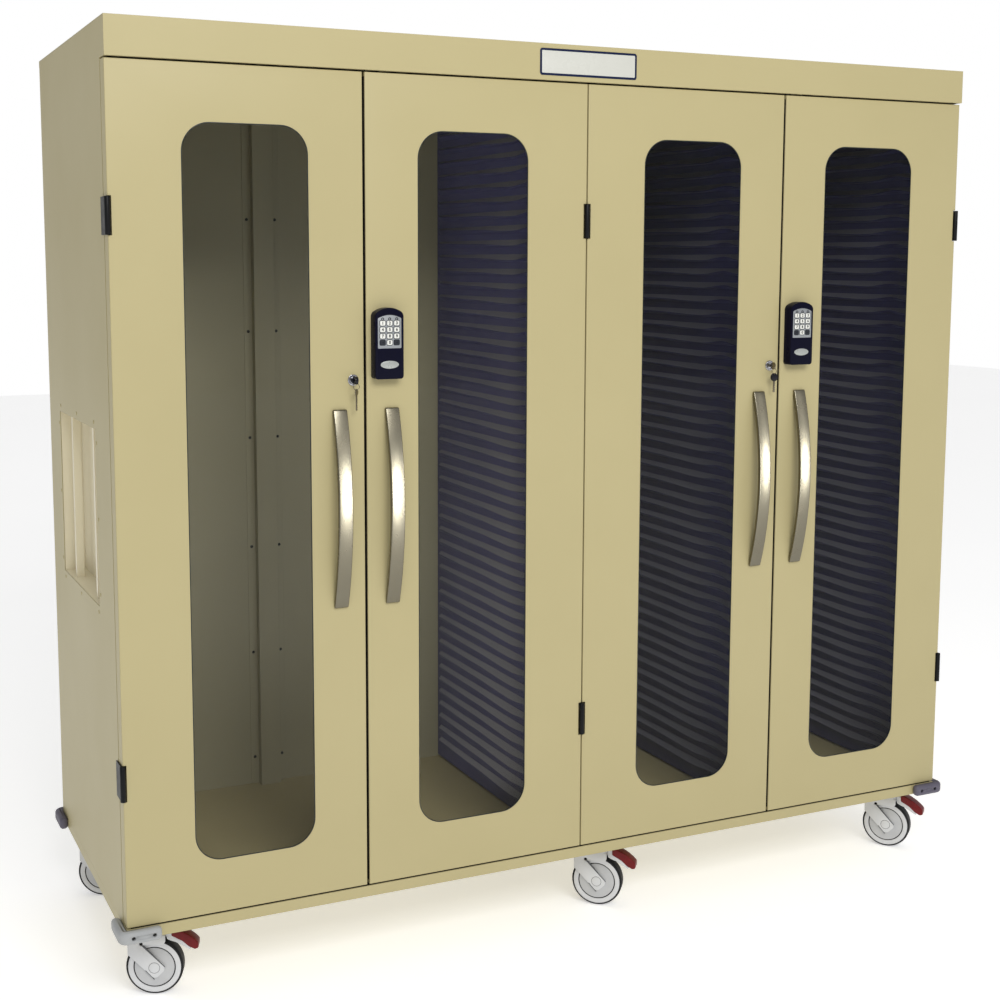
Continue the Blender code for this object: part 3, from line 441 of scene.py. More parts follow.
def dress_node(node: str, finish: "Finish") -> None:
    """Give a CAD node that stays in view its finish.

    Args:
        node: the CAD node's name.
        finish: what it is coated with or made of.
    """
    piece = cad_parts[node]
    piece.data.materials.clear()
    piece.data.materials.append(finish.material())
    log.info("%-32s keeps its CAD shape", node)


# The finishes

def linear(colour: str) -> tuple[float, float, float, float]:
    """Turn an sRGB hex colour into linear light with full opacity.

    Args:
        colour: the colour, such as #808080.

    Returns:
        Red, green, blue and opacity.
    """
    values = []
    for k in (1, 3, 5):
        share = int(colour[k:k + 2], 16) / 255
        values.append(share / 12.92 if share <= 0.04045 else ((share + 0.055) / 1.055) ** 2.4)
    return (*values, 1.0)


def add_node(tree: bpy.types.NodeTree, kind: str, inputs: dict[Any, Any] | None = None,
             **settings: Any) -> bpy.types.Node:
    """Add a node with its settings, values and links.

    Args:
        tree: the material's node tree.
        kind: the node's type.
        inputs: what goes into each input, a value or another node's output.
        **settings: the node's own settings.

    Returns:
        The new node.
    """
    node = tree.nodes.new(kind)
    for key, value in settings.items():
        setattr(node, key, value)
    for key, value in (inputs or {}).items():
        if isinstance(value, bpy.types.NodeSocket):
            tree.links.new(value, node.inputs[key])
        else:
            node.inputs[key].default_value = value
    return node


@dataclass(frozen=True)
class Finish:
    """A surface with a slow drift of colour and a fine grain.

    Lengths are real sizes in metres; a drift is half the range of a value.
    """

    name: str
    colour: str
    shade: str
    # How broad a patch of the drift is.
    patch: float
    roughness: float
    roughness_drift: float
    # How broad a grain is, and how high it stands.
    grain: float
    relief: float
    # How much finer the grain is along each axis.
    stretch: tuple[float, float, float] = (1.0, 1.0, 1.0)
    metallic: float = 0.0
    specular: float = 0.5
    coat: float = 0.0
    # The radius of the soft light along folds, and the light that the surface gives off.
    fold: float = 0.0
    glow: float = 0.0

    def material(self) -> bpy.types.Material:
        """Make this finish's material on its first use.

        Returns:
            The material.
        """
        known = bpy.data.materials.get(self.name)
        if known is not None:
            return known
        material = bpy.data.materials.new(self.name)
        material.use_nodes = True
        tree = material.node_tree
        shader = tree.nodes["Principled BSDF"]
        place = add_node(tree, "ShaderNodeTexCoord")
        drift = add_node(tree, "ShaderNodeTexNoise", {
            "Vector": place.outputs["Object"], "Scale": 1 / self.patch, "Detail": 3.0,
            "Roughness": 0.55})
        tint = add_node(tree, "ShaderNodeMix", {
            0: drift.outputs["Fac"], 6: linear(self.colour), 7: linear(self.shade)},
            data_type="RGBA")
        tree.links.new(tint.outputs[2], shader.inputs["Base Color"])
        gloss = add_node(tree, "ShaderNodeMapRange", {
            "Value": drift.outputs["Fac"], "From Min": 0.3, "From Max": 0.7,
            "To Min": self.roughness - self.roughness_drift,
            "To Max": self.roughness + self.roughness_drift})
        tree.links.new(gloss.outputs["Result"], shader.inputs["Roughness"])
        stretched = add_node(tree, "ShaderNodeMapping", {
            "Vector": place.outputs["Object"], "Scale": self.stretch})
        grain = add_node(tree, "ShaderNodeTexNoise", {
            "Vector": stretched.outputs["Vector"], "Scale": 1 / self.grain, "Detail": 2.0})
        bump = add_node(tree, "ShaderNodeBump", {
            "Height": grain.outputs["Fac"], "Distance": self.relief, "Strength": 1.0})
        if self.fold:
            soft = add_node(tree, "ShaderNodeBevel", {"Radius": self.fold}, samples=4)
            tree.links.new(soft.outputs["Normal"], bump.inputs["Normal"])
        tree.links.new(bump.outputs["Normal"], shader.inputs["Normal"])
        shader.inputs["Metallic"].default_value = self.metallic
        shader.inputs["Specular IOR Level"].default_value = self.specular
        shader.inputs["Coat Weight"].default_value = self.coat
        shader.inputs["Emission Color"].default_value = (1.0, 1.0, 1.0, 1.0)
        shader.inputs["Emission Strength"].default_value = self.glow
        self.detail(tree, shader)
        return material

    def detail(self, tree: bpy.types.NodeTree, shader: bpy.types.Node) -> None:
        """Add what a finish has beyond its drift and its grain."""


@dataclass(frozen=True)
class GlassFinish(Finish):
    """Clear float glass: see-through face on, and more of a mirror at a flat angle."""

    # How much of a mirror it is face on, and at a flat angle.
    haze: float = 0.10
    gleam: float = 0.95
    tilt_ior: float = 1.45
    ior: float = 1.5

    def detail(self, tree: bpy.types.NodeTree, shader: bpy.types.Node) -> None:
        """Let the glass turn from clear to mirror with the angle that it is seen at.

        Args:
            tree: the material's node tree.
            shader: its surface shader.
        """
        tilt = add_node(tree, "ShaderNodeFresnel", {"IOR": self.tilt_ior})
        cover = add_node(tree, "ShaderNodeMapRange", {
            "Value": tilt.outputs["Fac"], "From Min": 0.0, "From Max": 1.0,
            "To Min": self.haze, "To Max": self.gleam})
        side = add_node(tree, "ShaderNodeNewGeometry")
        near_face = add_node(tree, "ShaderNodeMath", {
            0: 1.0, 1: side.outputs["Backfacing"]}, operation="SUBTRACT")
        seen = add_node(tree, "ShaderNodeMath", {
            0: cover.outputs["Result"], 1: near_face.outputs["Value"]}, operation="MULTIPLY")
        tree.links.new(seen.outputs["Value"], shader.inputs["Alpha"])
        shader.inputs["IOR"].default_value = self.ior


@dataclass(frozen=True)
class LedgeFinish(Finish):
    """A formed plastic whose slopes that face upwards are painted paler, a painted highlight for
    light from above.
    """

    painted_highlight: str = "#808080"
    # How far a slope has to face upwards to get the painted highlight at all, and fully.
    slopes: tuple[float, float] = (0.15, 0.45)

    def detail(self, tree: bpy.types.NodeTree, shader: bpy.types.Node) -> None:
        """Blend the painted highlight in where the surface faces upwards.

        Args:
            tree: the material's node tree.
            shader: its surface shader.
        """
        link = shader.inputs["Base Color"].links[0]
        shape = add_node(tree, "ShaderNodeNewGeometry")
        split = add_node(tree, "ShaderNodeSeparateXYZ", {"Vector": shape.outputs["Normal"]})
        share = add_node(tree, "ShaderNodeMapRange", {
            "Value": split.outputs["Z"], "From Min": self.slopes[0],
            "From Max": self.slopes[1]}, interpolation_type="SMOOTHSTEP")
        painted_light = add_node(tree, "ShaderNodeMix", {
            0: share.outputs["Result"], 6: link.from_socket, 7: linear(self.painted_highlight)},
            data_type="RGBA")
        tree.links.new(painted_light.outputs[2], shader.inputs["Base Color"])


# Epoxy powder coat on steel sheet, sprayed and baked: a satin cream with a faint orange
# peel, and soft light along every fold.
POWDER_COAT = Finish(
    "cream_powder_coat_on_steel", "#B4A97F", "#ABA076", patch=0.45, roughness=0.42,
    roughness_drift=0.03, grain=0.9 * MM, relief=0.012 * MM, specular=0.3, fold=1.2 * MM)
# The pocket's lining is the same paint made paler: painted light, for the light that falls into
# the pocket.
POCKET_PAINTED_LIGHT_COAT = Finish(
    "cream_powder_coat_painted_light", "#E6DEC4", "#DBD2B6", patch=0.20, roughness=0.34,
    roughness_drift=0.03, grain=0.9 * MM, relief=0.012 * MM, fold=1.2 * MM)
# The same coat inside the case, a little darker and greyer.
INNER_COAT = Finish(
    "cream_powder_coat_inside", "#A6A184", "#9A9578", patch=0.30, roughness=0.48,
    roughness_drift=0.05, grain=0.9 * MM, relief=0.012 * MM, fold=1.0 * MM)
# Injection-moulded acetal hinge bodies: near black with a dull sheen.
HINGE_BLACK = Finish(
    "black_acetal_moulded", "#030406", "#06070A", patch=0.02, roughness=0.45,
    roughness_drift=0.06, grain=0.35 * MM, relief=0.015 * MM, specular=0.2)
# Thermoplastic rubber bumpers, one light and three dark: matt, with a fine moulded grain.
BUMPER_LIGHT = Finish(
    "light_grey_bumper_rubber", "#A5A7A6", "#97999B", patch=0.03, roughness=0.55,
    roughness_drift=0.06, grain=0.5 * MM, relief=0.03 * MM)
BUMPER_DARK = Finish(
    "dark_grey_bumper_rubber", "#5E5A68", "#4F4B5A", patch=0.03, roughness=0.55,
    roughness_drift=0.06, grain=0.5 * MM, relief=0.03 * MM)
# Vacuum-formed ABS liners: navy black, and paler on the sloping ledges: a painted highlight
# for the light that falls on them from above.
LINER_ABS = LedgeFinish(
    "navy_black_formed_abs", "#41416E", "#383861", patch=0.12, roughness=0.42,
    roughness_drift=0.05, grain=0.4 * MM, relief=0.006 * MM, painted_highlight="#73737F")
# Cast zinc bow handles, plated in satin nickel: warm silver, brushed along their length.
SATIN_NICKEL = Finish(
    "satin_nickel_brushed", "#7C7869", "#716B5C", patch=0.05, roughness=0.26,
    roughness_drift=0.03, grain=0.5 * MM, relief=0.004 * MM, stretch=(1.0, 1.0, 0.04),
    metallic=1.0)
# Chromed lock parts and keys: bright, with the faintest polishing marks.
BRIGHT_CHROME = Finish(
    "polished_chrome_plate", "#B4B4B8", "#A2A2A8", patch=0.01, roughness=0.12,
    roughness_drift=0.03, grain=0.2 * MM, relief=0.002 * MM, metallic=1.0)
# Cut steel keys, nickel-plated and worn warm at the edges.
KEY_STEEL = Finish(
    "nickel_plated_key_steel", "#8C8474", "#6E6656", patch=0.01, roughness=0.28,
    roughness_drift=0.05, grain=0.2 * MM, relief=0.003 * MM, metallic=1.0)
# Moulded polycarbonate keypad case: deep navy, half gloss.
KEYPAD_NAVY = Finish(
    "navy_polycarbonate_moulded", "#07071E", "#050518", patch=0.03, roughness=0.30,
    roughness_drift=0.04, grain=0.3 * MM, relief=0.008 * MM, specular=0.1)
# Anodised plate round the keys: pale grey with a fine brushed grain.
KEYPAD_PLATE = Finish(
    "grey_anodised_key_plate", "#85888B", "#93969A", patch=0.02, roughness=0.42,
    roughness_drift=0.05, grain=0.3 * MM, relief=0.008 * MM, stretch=(0.05, 1.0, 1.0),
    metallic=0.3)
# Key grips: black nylon, polished by the hand.
KEY_BLACK = Finish(
    "black_nylon_key_grip", "#0A0A12", "#0E0E18", patch=0.01, roughness=0.18,
    roughness_drift=0.03, grain=0.4 * MM, relief=0.003 * MM, specular=0.3)
# Silicone keys: off-white and matt.
KEY_WHITE = Finish(
    "white_silicone_keys", "#E0E0DA", "#D6D6CF", patch=0.004, roughness=0.50,
    roughness_drift=0.05, grain=0.2 * MM, relief=0.005 * MM)
# The same rubber, filled dark for the two plain keys; the dark rims round the keys are painted
# shadow.
KEY_DARK = Finish(
    "charcoal_silicone_and_painted_key_shadow", "#23262E", "#1D2026", patch=0.004, roughness=0.50,
    roughness_drift=0.05, grain=0.2 * MM, relief=0.005 * MM, specular=0.3)
# Screen-printed ink: near black, and a touch glossier than the rubber under it.
KEY_INK = Finish(
    "black_key_ink", "#0C0D12", "#14151A", patch=0.004, roughness=0.45, roughness_drift=0.03,
    grain=0.2 * MM, relief=0.002 * MM, specular=0.2)
# Printed polyester badge with nothing on it.
BLANK_BADGE = Finish(
    "blank_silver_badge", "#A9ACA9", "#9EA19E", patch=0.01, roughness=0.30, roughness_drift=0.04,
    grain=0.2 * MM, relief=0.004 * MM, metallic=0.3)
# Printed acrylic name plate with nothing on it: a clean white that mirrors a little.
BADGE_WHITE = Finish(
    "blank_white_name_plate", "#C8C8C0", "#C0C0B8", patch=0.05, roughness=0.28,
    roughness_drift=0.03, grain=0.3 * MM, relief=0.003 * MM, specular=0.3)
# The name plate's rim, printed in navy ink under the same clear layer.
BADGE_EDGE = Finish(
    "navy_name_plate_edge", "#08183E", "#061434", patch=0.05, roughness=0.34,
    roughness_drift=0.03, grain=0.3 * MM, relief=0.003 * MM, specular=0.2)
# Zinc-plated steel lock bars: cool grey, half bright.
ZINC = Finish(
    "zinc_plated_steel", "#A9ABAE", "#95979B", patch=0.01, roughness=0.34, roughness_drift=0.06,
    grain=0.3 * MM, relief=0.004 * MM, metallic=1.0)
# Black-passivated steel screws: dark, with a dull metal gleam on their heads.
DARK_SCREW = Finish(
    "dark_plated_screw", "#3A3A38", "#2E2E2C", patch=0.01, roughness=0.40, roughness_drift=0.05,
    grain=0.3 * MM, relief=0.004 * MM, metallic=0.8)
# Foam rubber seals where the doors meet the frame and each other, black and dull: also painted
# shade that darkens the gaps.
SEAL_AND_GAP_SHADE = Finish(
    "black_seal_and_painted_gap_shade", "#0E0B0A", "#141110", patch=0.02, roughness=0.75,
    roughness_drift=0.05, grain=0.5 * MM, relief=0.03 * MM, specular=0.1)
# Glazing strip of black-green rubber round the windows.
GLAZING = Finish(
    "glazing_strip_rubber", "#16211F", "#101816", patch=0.02, roughness=0.45,
    roughness_drift=0.05, grain=0.3 * MM, relief=0.006 * MM)
# Float glass, drawn flat and smooth: clear face on, a mirror for the pale room at an angle.
GLASS = GlassFinish(
    "clear_float_glass", "#10140F", "#0E120E", patch=0.5, roughness=0.02, roughness_drift=0.005,
    grain=5 * MM, relief=0.0002 * MM, specular=1.0)
# Glass-filled nylon casters: light grey, satin.
CASTER_GREY = Finish(
    "light_grey_nylon_moulded", "#CFD0D1", "#C4C5C7", patch=0.04, roughness=0.36,
    roughness_drift=0.05, grain=0.4 * MM, relief=0.01 * MM)
# The wheel's disc in the same nylon, a little darker than the fork, with a rougher grain.
CASTER_DISC = Finish(
    "grey_nylon_wheel_disc", "#BBBCBD", "#ACADAF", patch=0.03, roughness=0.42,
    roughness_drift=0.05, grain=0.7 * MM, relief=0.03 * MM)
# Vulcanised rubber tread: near black and dusty-dull.
TYRE_RUBBER = Finish(
    "dark_tyre_rubber_tread", "#16171A", "#101114", patch=0.03, roughness=0.55,
    roughness_drift=0.08, grain=0.6 * MM, relief=0.03 * MM, specular=0.25)
# Dark grey lines on the casters: painted shadows beside each fork leg, and a ring round each hub
# cap.
CASTER_LINE_AND_SHADOW_GREY = Finish(
    "caster_lines_and_painted_shadows", "#58595D", "#4C4D51", patch=0.03, roughness=0.55,
    roughness_drift=0.05, grain=0.4 * MM, relief=0.01 * MM, specular=0.3)
# Moulded nylon pedals: deep red, mottled, with a satin top.
PEDAL_RED = Finish(
    "dark_red_nylon_moulded", "#7A1013", "#520A0C", patch=0.006, roughness=0.36,
    roughness_drift=0.05, grain=0.4 * MM, relief=0.012 * MM, specular=0.25)
# Matt white floor paint, with a glow that stands for light from all round the studio.
STUDIO_FLOOR = Finish(
    "pale_studio_floor", "#F4F4F4", "#F1F1F1", patch=1.5, roughness=0.75, roughness_drift=0.03,
    grain=3 * MM, relief=0.01 * MM, glow=0.42)


# The studio

@dataclass(frozen=True)
class SoftBox:
    """An oblong soft light that hangs at a place, aimed at a point."""

    name: str
    place: tuple[float, float, float]
    aim: tuple[float, float, float]
    size: tuple[float, float]
    power: float
    colour: tuple[float, float, float] = (1.0, 1.0, 1.0)

    def hang(self, *pieces: Obj) -> None:
        """Hang the light; where pieces are given, it falls on them alone.

        Args:
            *pieces: the only pieces that it lights, or none for all.
        """
        lamp = bpy.data.lights.new(self.name, "AREA")
        lamp.shape = "RECTANGLE"
        lamp.size, lamp.size_y = self.size
        lamp.energy = self.power
        lamp.color = self.colour
        holder = bpy.data.objects.new(self.name, lamp)
        bpy.context.collection.objects.link(holder)
        holder.location = self.place
        way = Vector(self.aim) - Vector(self.place)
        holder.rotation_euler = way.to_track_quat("-Z", "Y").to_euler()
        if pieces:
            lit = bpy.data.collections.new(f"lit_by_{self.name}")
            for piece in pieces:
                lit.objects.link(piece)
            holder.light_linking.receiver_collection = lit


@dataclass
class Studio:
    """Pale floor, soft lights and the camera at the photograph's place."""

    # The camera as it was solved on the photograph's straight edges.
    camera_place: tuple[float, float, float] = (-1.6815, -3.3137, 1.5902)
    camera_turn: tuple[float, float, float] = (83.198, 0.033, -24.209)
    lens: float = 53.084
    shift: tuple[float, float] = (0.0563, -0.0615)
    clip_end: float = 100.0
    floor_size: float = 30.0
    floor_depth: float = 20 * MM
    floor_gap: float = 0.5 * MM
    # How bright the sky is behind the cabinet, all round and overhead.
    backdrop: float = 1.0
    surround: float = 0.55
    overhead: float = 0.5
    # Which way the backdrop lies, and between which values each part of the sky blends.
    backdrop_way: tuple[float, float, float] = (0.41, 0.912, 0.0)
    backdrop_edge: tuple[float, float] = (0.80, 0.93)
    overhead_edge: tuple[float, float] = (0.24, 0.60)
    key: SoftBox = SoftBox("high_soft_box", (-0.7, -5.4, 4.4), (0.0, -0.4, 1.0), (3.2, 2.0), 207)
    fill: SoftBox = SoftBox("second_bay_fill", (-1.9, -3.7, 1.15), (0.0, 0.0, 1.1), (1.0, 0.6),
                            105, (1.0, 0.97, 0.80))
    # The strips that light the handles: how near they hang and how far back they aim.
    strip_reach: tuple[float, float] = (-4.4, -0.4)
    strip_width: float = 0.9
    # Its height above the floor, the strip's own height and its power.
    low_strip: tuple[float, float, float] = (0.86, 1.1, 110)
    # The same without the power, which each pair has for itself.
    high_strip: tuple[float, float] = (2.9, 2.2)
    # Each pair's name, its place along X and the power of its high strip.
    strips: tuple[tuple[str, float, float], ...] = (("left", 1.03, 2), ("right", 3.60, 9))

    def build(self) -> None:
        """Make the floor, the sky, the key light and the camera."""
        self.build_floor()
        self.build_sky()
        self.key.hang()
        self.build_camera()

    def build_floor(self) -> None:
        """Lay a broad floor, its far edge out of sight, and name it."""
        half = self.floor_size / 2
        floor = start_box((-half, -half, -self.floor_depth), (half, half, -self.floor_gap))
        with editing(floor, Kind.FACE):
            pick(floor, Kind.FACE, lambda mid, way: way.z > ALONG)
            bpy.ops.mesh.subdivide(number_cuts=3)
        floor.name = "studio_floor"
        floor.data.materials.append(STUDIO_FLOOR.material())

    def build_sky(self) -> None:
        """Surround the scene with pale walls, and a white backdrop behind the cabinet."""
        world = bpy.data.worlds.new("studio_sky")
        world.use_nodes = True
        tree = world.node_tree
        place = add_node(tree, "ShaderNodeTexCoord")
        split = add_node(tree, "ShaderNodeSeparateXYZ", {"Vector": place.outputs["Generated"]})
        facing = add_node(tree, "ShaderNodeVectorMath", {
            0: place.outputs["Generated"], 1: self.backdrop_way}, operation="DOT_PRODUCT")
        walls = add_node(tree, "ShaderNodeMapRange", {
            "Value": facing.outputs["Value"], "From Min": self.backdrop_edge[0],
            "From Max": self.backdrop_edge[1], "To Min": self.surround,
            "To Max": self.backdrop}, interpolation_type="SMOOTHSTEP")
        fade = add_node(tree, "ShaderNodeMapRange", {
            "Value": split.outputs["Z"], "From Min": self.overhead_edge[0],
            "From Max": self.overhead_edge[1], "To Min": walls.outputs["Result"],
            "To Max": self.overhead}, interpolation_type="SMOOTHSTEP")
        back = tree.nodes["Background"]
        back.inputs["Color"].default_value = (1.0, 1.0, 1.0, 1.0)
        tree.links.new(fade.outputs["Result"], back.inputs["Strength"])
        bpy.context.scene.world = world
        bpy.context.scene.view_settings.view_transform = "Standard"

    def light_handles(self, handles: Sequence[Obj]) -> None:
        """Hang a bright strip low and a dim one high for each pair, for the handles alone.

        Args:
            handles: the four bow handles.
        """
        near, far = self.strip_reach
        for name, x, dim in self.strips:
            for level, z, height, power in (("low", *self.low_strip),
                                            ("high", *self.high_strip, dim)):
                SoftBox(f"{name}_{level}_strip", (x, near, z), (x, far, z),
                        (self.strip_width, height), power).hang(*handles)

    def build_camera(self) -> None:
        """Set the camera where the photograph was taken from."""
        lens = bpy.data.cameras.new("photo_camera")
        lens.lens = self.lens
        lens.shift_x, lens.shift_y = self.shift
        lens.clip_end = self.clip_end
        camera = bpy.data.objects.new("photo_camera", lens)
        bpy.context.collection.objects.link(camera)
        camera.location = self.camera_place
        camera.rotation_euler = Euler([radians(turn) for turn in self.camera_turn])
        bpy.context.scene.camera = camera


# The case

@dataclass
class CabinetCase:
    """The standing case with its name plate, its rivets and its screws."""

    plate_from_left: float = 0.955
    plate_width: float = 0.2475
    plate_bottom: float = 2.001
    plate_height: float = 0.0585
    plate_edge: float = 5.0 * MM
    plate_rise: float = 0.8 * MM
    plate_corner: float = 6 * MM
    face_rise: float = 0.25 * MM
    face_corner: float = 1.8 * MM
    face_root: float = 0.1 * MM
    rim_soft: float = 0.25 * MM
    face_soft: float = 0.12 * MM
    contact: float = 0.01 * MM
    rivet_head: float = 4.2 * MM
    rivet_rise: float = 1.3 * MM
    rivet_inset: float = 14 * MM
    # How far the first rivet of a row stands from the corner, along Y and along Z.
    rivet_ends: tuple[float, float] = (38 * MM, 57 * MM)
    screw_head: float = 4.0 * MM
    screw_rise: float = 1.6 * MM
    round_share: float = 0.85
    channel_depth: float = 23.5 * MM
    channel_half: float = 37.5 * MM
    screw_heights: tuple[float, ...] = (1.70, 1.414, 1.138, 0.85, 0.566, 0.28)

    def build(self) -> None:
        """Dress the sheet parts and add the small pieces."""
        for node in ("base_pan", "left_side_panel", "right_side_panel", "top_cover"):
            dress_node(node, POWDER_COAT)
        dress_node("side_pocket", POCKET_PAINTED_LIGHT_COAT)
        for node in ("back_panel", "centre_partition", "column_divider"):
            dress_node(node, INNER_COAT)
        self.build_name_plate()
        self.build_rivets()
        self.build_channel_screws()

    def build_name_plate(self) -> None:
        """Stick the name plate on the header: a navy-edged white face with nothing on it."""
        low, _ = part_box("top_cover")
        x0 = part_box("left_side_panel")[0].x + self.plate_from_left
        corner = Vector((x0, low.y - self.plate_rise, self.plate_bottom))
        far = Vector((x0 + self.plate_width, low.y - self.contact,
                      self.plate_bottom + self.plate_height))
        rim = start_box(corner, far)
        round_edges(rim, lambda mid, way: abs(way.y) > ALONG, self.plate_corner, 6)
        soften(rim, self.rim_soft)
        finish_piece(rim, "name_plate_edge", "case", "cream_powder_coat", BADGE_EDGE)
        edge = self.plate_edge
        face_low = corner + Vector((edge, -self.face_rise, edge))
        face_high = Vector((far.x - edge, corner.y + self.face_root, far.z - edge))
        plate = start_box(face_low, face_high)
        round_edges(plate, lambda mid, way: abs(way.y) > ALONG, self.face_corner, 4)
        soften(plate, self.face_soft)
        finish_piece(plate, "name_plate_face", "case", "cream_powder_coat", BADGE_WHITE)

    def dome(self, centre: Vector, axis: Axis, radius: float, rise: float) -> Obj:
        """Model a low domed head that stands on a face.

        Args:
            centre: the middle of the head's seat.
            axis: the axis that it stands along.
            radius: the head's radius.
            rise: the head's height, with its sign along the axis.

        Returns:
            The head.
        """
        way = {Axis.X: Vector((1, 0, 0)), Axis.Y: Vector((0, 1, 0))}[axis]
        head = start_rod(Vector(centre) + way * rise / 2, radius, abs(rise), axis, 20)
        top = Vector(centre) + way * rise
        round_edges(head, lambda mid, _: abs((mid - top).dot(way)) < EPS,
                    abs(rise) * self.round_share, 3)
        return smooth(head, 60)

    def build_rivets(self) -> None:
        """Rivet the pocket's flange to the side wall, all round its mouth."""
        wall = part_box("left_side_panel")[0].x
        low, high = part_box("side_pocket")
        inset, (end_y, end_z) = self.rivet_inset, self.rivet_ends
        rows = [(y, z) for y in self.spread(low.y + end_y, high.y - end_y, 3)
                for z in (low.z + inset, high.z - inset)]
        rows += [(y, z) for z in self.spread(low.z + end_z, high.z - end_z, 3)
                 for y in (low.y + inset, high.y - inset)]
        heads = [self.dome(Vector((wall, y, z)), Axis.X, self.rivet_head, -self.rivet_rise)
                 for y, z in rows]
        finish_piece(join(*heads), "pocket_rivets", "case", "cream_powder_coat", POWDER_COAT)

    @staticmethod
    def spread(first: float, last: float, count: int) -> list[float]:
        """Return evenly spread places from first to last."""
        return [first + (last - first) * k / (count - 1) for k in range(count)]

    def build_channel_screws(self) -> None:
        """Screw both hat channels to the back wall."""
        left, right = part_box("left_side_panel")[0].x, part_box("right_side_panel")[1].x
        pitch = (right - left) / 4
        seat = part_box("back_panel")[0].y + self.channel_depth
        heads = []
        for middle in (left + pitch, right - pitch):
            for z in self.screw_heights:
                for dx in (-self.channel_half, self.channel_half):
                    heads.append(self.dome(Vector((middle + dx, seat, z)), Axis.Y,
                                           self.screw_head, -self.screw_rise))
        finish_piece(join(*heads), "channel_screws", "case", "plated_steel", DARK_SCREW)


# The doors

@dataclass
class GlazedDoor:
    """One door: a folded pan round a window with its glazing strip and its glass."""

    number: int
    sheet: float = 1.5 * MM
    fold: float = 1.6 * MM
    lip: float = 22 * MM
    hinge_margin: float = 149 * MM
    free_margin: float = 120.5 * MM
    end_margin: float = 116 * MM
    corner: float = 60 * MM
    strip: float = 2.0 * MM
    strip_front: float = 0.2 * MM
    strip_back: float = 1.65 * MM
    strip_soft: float = 0.3 * MM
    cut: float = 4 * MM
    knuckle_room: float = 7.5 * MM
    knuckle_gap: float = 1 * MM
    barrel_hole: float = 8.3 * MM
    bar_gap: float = 0.5 * MM
    # Where the slot starts and ends behind the door's face, and below and above the lock.
    cam_slot: tuple[float, float, float, float] = (19 * MM, 23.5 * MM, 7 * MM, 38 * MM)

    @property
    def node(self) -> str:
        """The door's CAD node."""
        return f"door_{self.number}"

    @property
    def body(self) -> str:
        """The CAD body of the door's leaf."""
        return f"door_{self.number}_leaf"

    @property
    def hinge_side(self) -> int:
        """-1 where the hinges are on the left, 1 where they are on the right."""
        return -1 if self.number % 2 else 1

    def window_block(self, inset: float, near: float, far: float) -> Obj:
        """Model a block with the window's outline.

        Args:
            inset: how much smaller it is all round.
            near: its front, measured back from the door's face.
            far: its back, measured the same way.

        Returns:
            The block.
        """
        low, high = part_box(self.node)
        left, right = self.hinge_margin, self.free_margin
        if self.hinge_side > 0:
            left, right = right, left
        block = start_box((low.x + left + inset, low.y + near, low.z + self.end_margin + inset),
                          (high.x - right - inset, low.y + far,
                           high.z - self.end_margin - inset))
        return round_edges(block, lambda mid, way: abs(way.y) > ALONG, self.corner - inset, 14)

    def build(self) -> None:
        """Model the pan and the glazing strip, and dress the glass."""
        low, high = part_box(self.node)
        pan = start_box(low, high)
        round_edges(pan, lambda mid, way: abs(mid.y - low.y) < EPS, self.fold, 4)
        s, lip = Vector((1, 1, 1)) * self.sheet, self.lip
        hollow = start_box(low + s, high - s)
        mouth = start_box((low.x + lip, low.y + 2 * self.sheet, low.z + lip),
                          (high.x - lip, high.y + lip, high.z - lip))
        carve(pan, fuse(hollow, mouth), self.window_block(0, -lip, lip))
        self.cut_hinge_notches(pan)
        self.cut_lock_holes(pan)
        smooth(pan, 30)
        finish_piece(pan, f"{self.node}_folded_pan", self.body, "cream_powder_coat",
                     POWDER_COAT, self.node)
        ring = self.window_block(EPS, self.strip_front, self.strip_back)
        carve(ring, self.window_block(self.strip, -self.cut, self.cut))
        soften(ring, self.strip_soft)
        finish_piece(ring, f"{self.node}_glazing_strip", self.body, "black_hinge_plastic",
                     GLAZING)
        dress_node(f"{self.node}_glass", GLASS)

    def cut_hinge_notches(self, pan: Obj) -> None:
        """Clear the hinge knuckles from the door's edge.

        Args:
            pan: the door's pan.
        """
        side = {1: "left", 2: "centre", 3: "centre", 4: "right"}[self.number]
        clear, gap = self.knuckle_room, self.knuckle_gap
        low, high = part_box(self.node)
        for height in ("top", "lower"):
            bottom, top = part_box(f"{height}_{side}_hinge")
            x = low.x if self.hinge_side < 0 else high.x
            carve(pan, start_box((x - clear, low.y - clear, bottom.z - gap),
                                 (x + clear, low.y + clear, top.z + gap)))

    def cut_lock_holes(self, pan: Obj) -> None:
        """Cut the hole for the lock's barrel, or the slot for the lock bar.

        Args:
            pan: the door's pan.
        """
        low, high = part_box(self.node)
        cut = self.cut
        if self.number % 2:
            a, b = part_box(f"{self.node}_key_lock")
            middle = Vector(((a.x + b.x) / 2, low.y, b.z - LOCK_DROP))
            carve(pan, start_rod(middle, self.barrel_hole, 2 * cut, Axis.Y, 24))
        else:
            a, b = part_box(f"{self.node}_lock_bar")
            gap = self.bar_gap
            carve(pan, start_box((a.x - gap, a.y - gap, high.z - cut),
                                 (b.x + gap, b.y + gap, high.z + cut)))
        x = high.x if self.hinge_side < 0 else low.x
        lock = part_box("door_1_key_lock")[1].z - LOCK_DROP
        near, far, below, above = self.cam_slot
        carve(pan, start_box((x - cut, low.y + near, lock - below),
                             (x + cut, low.y + far, lock + above)))


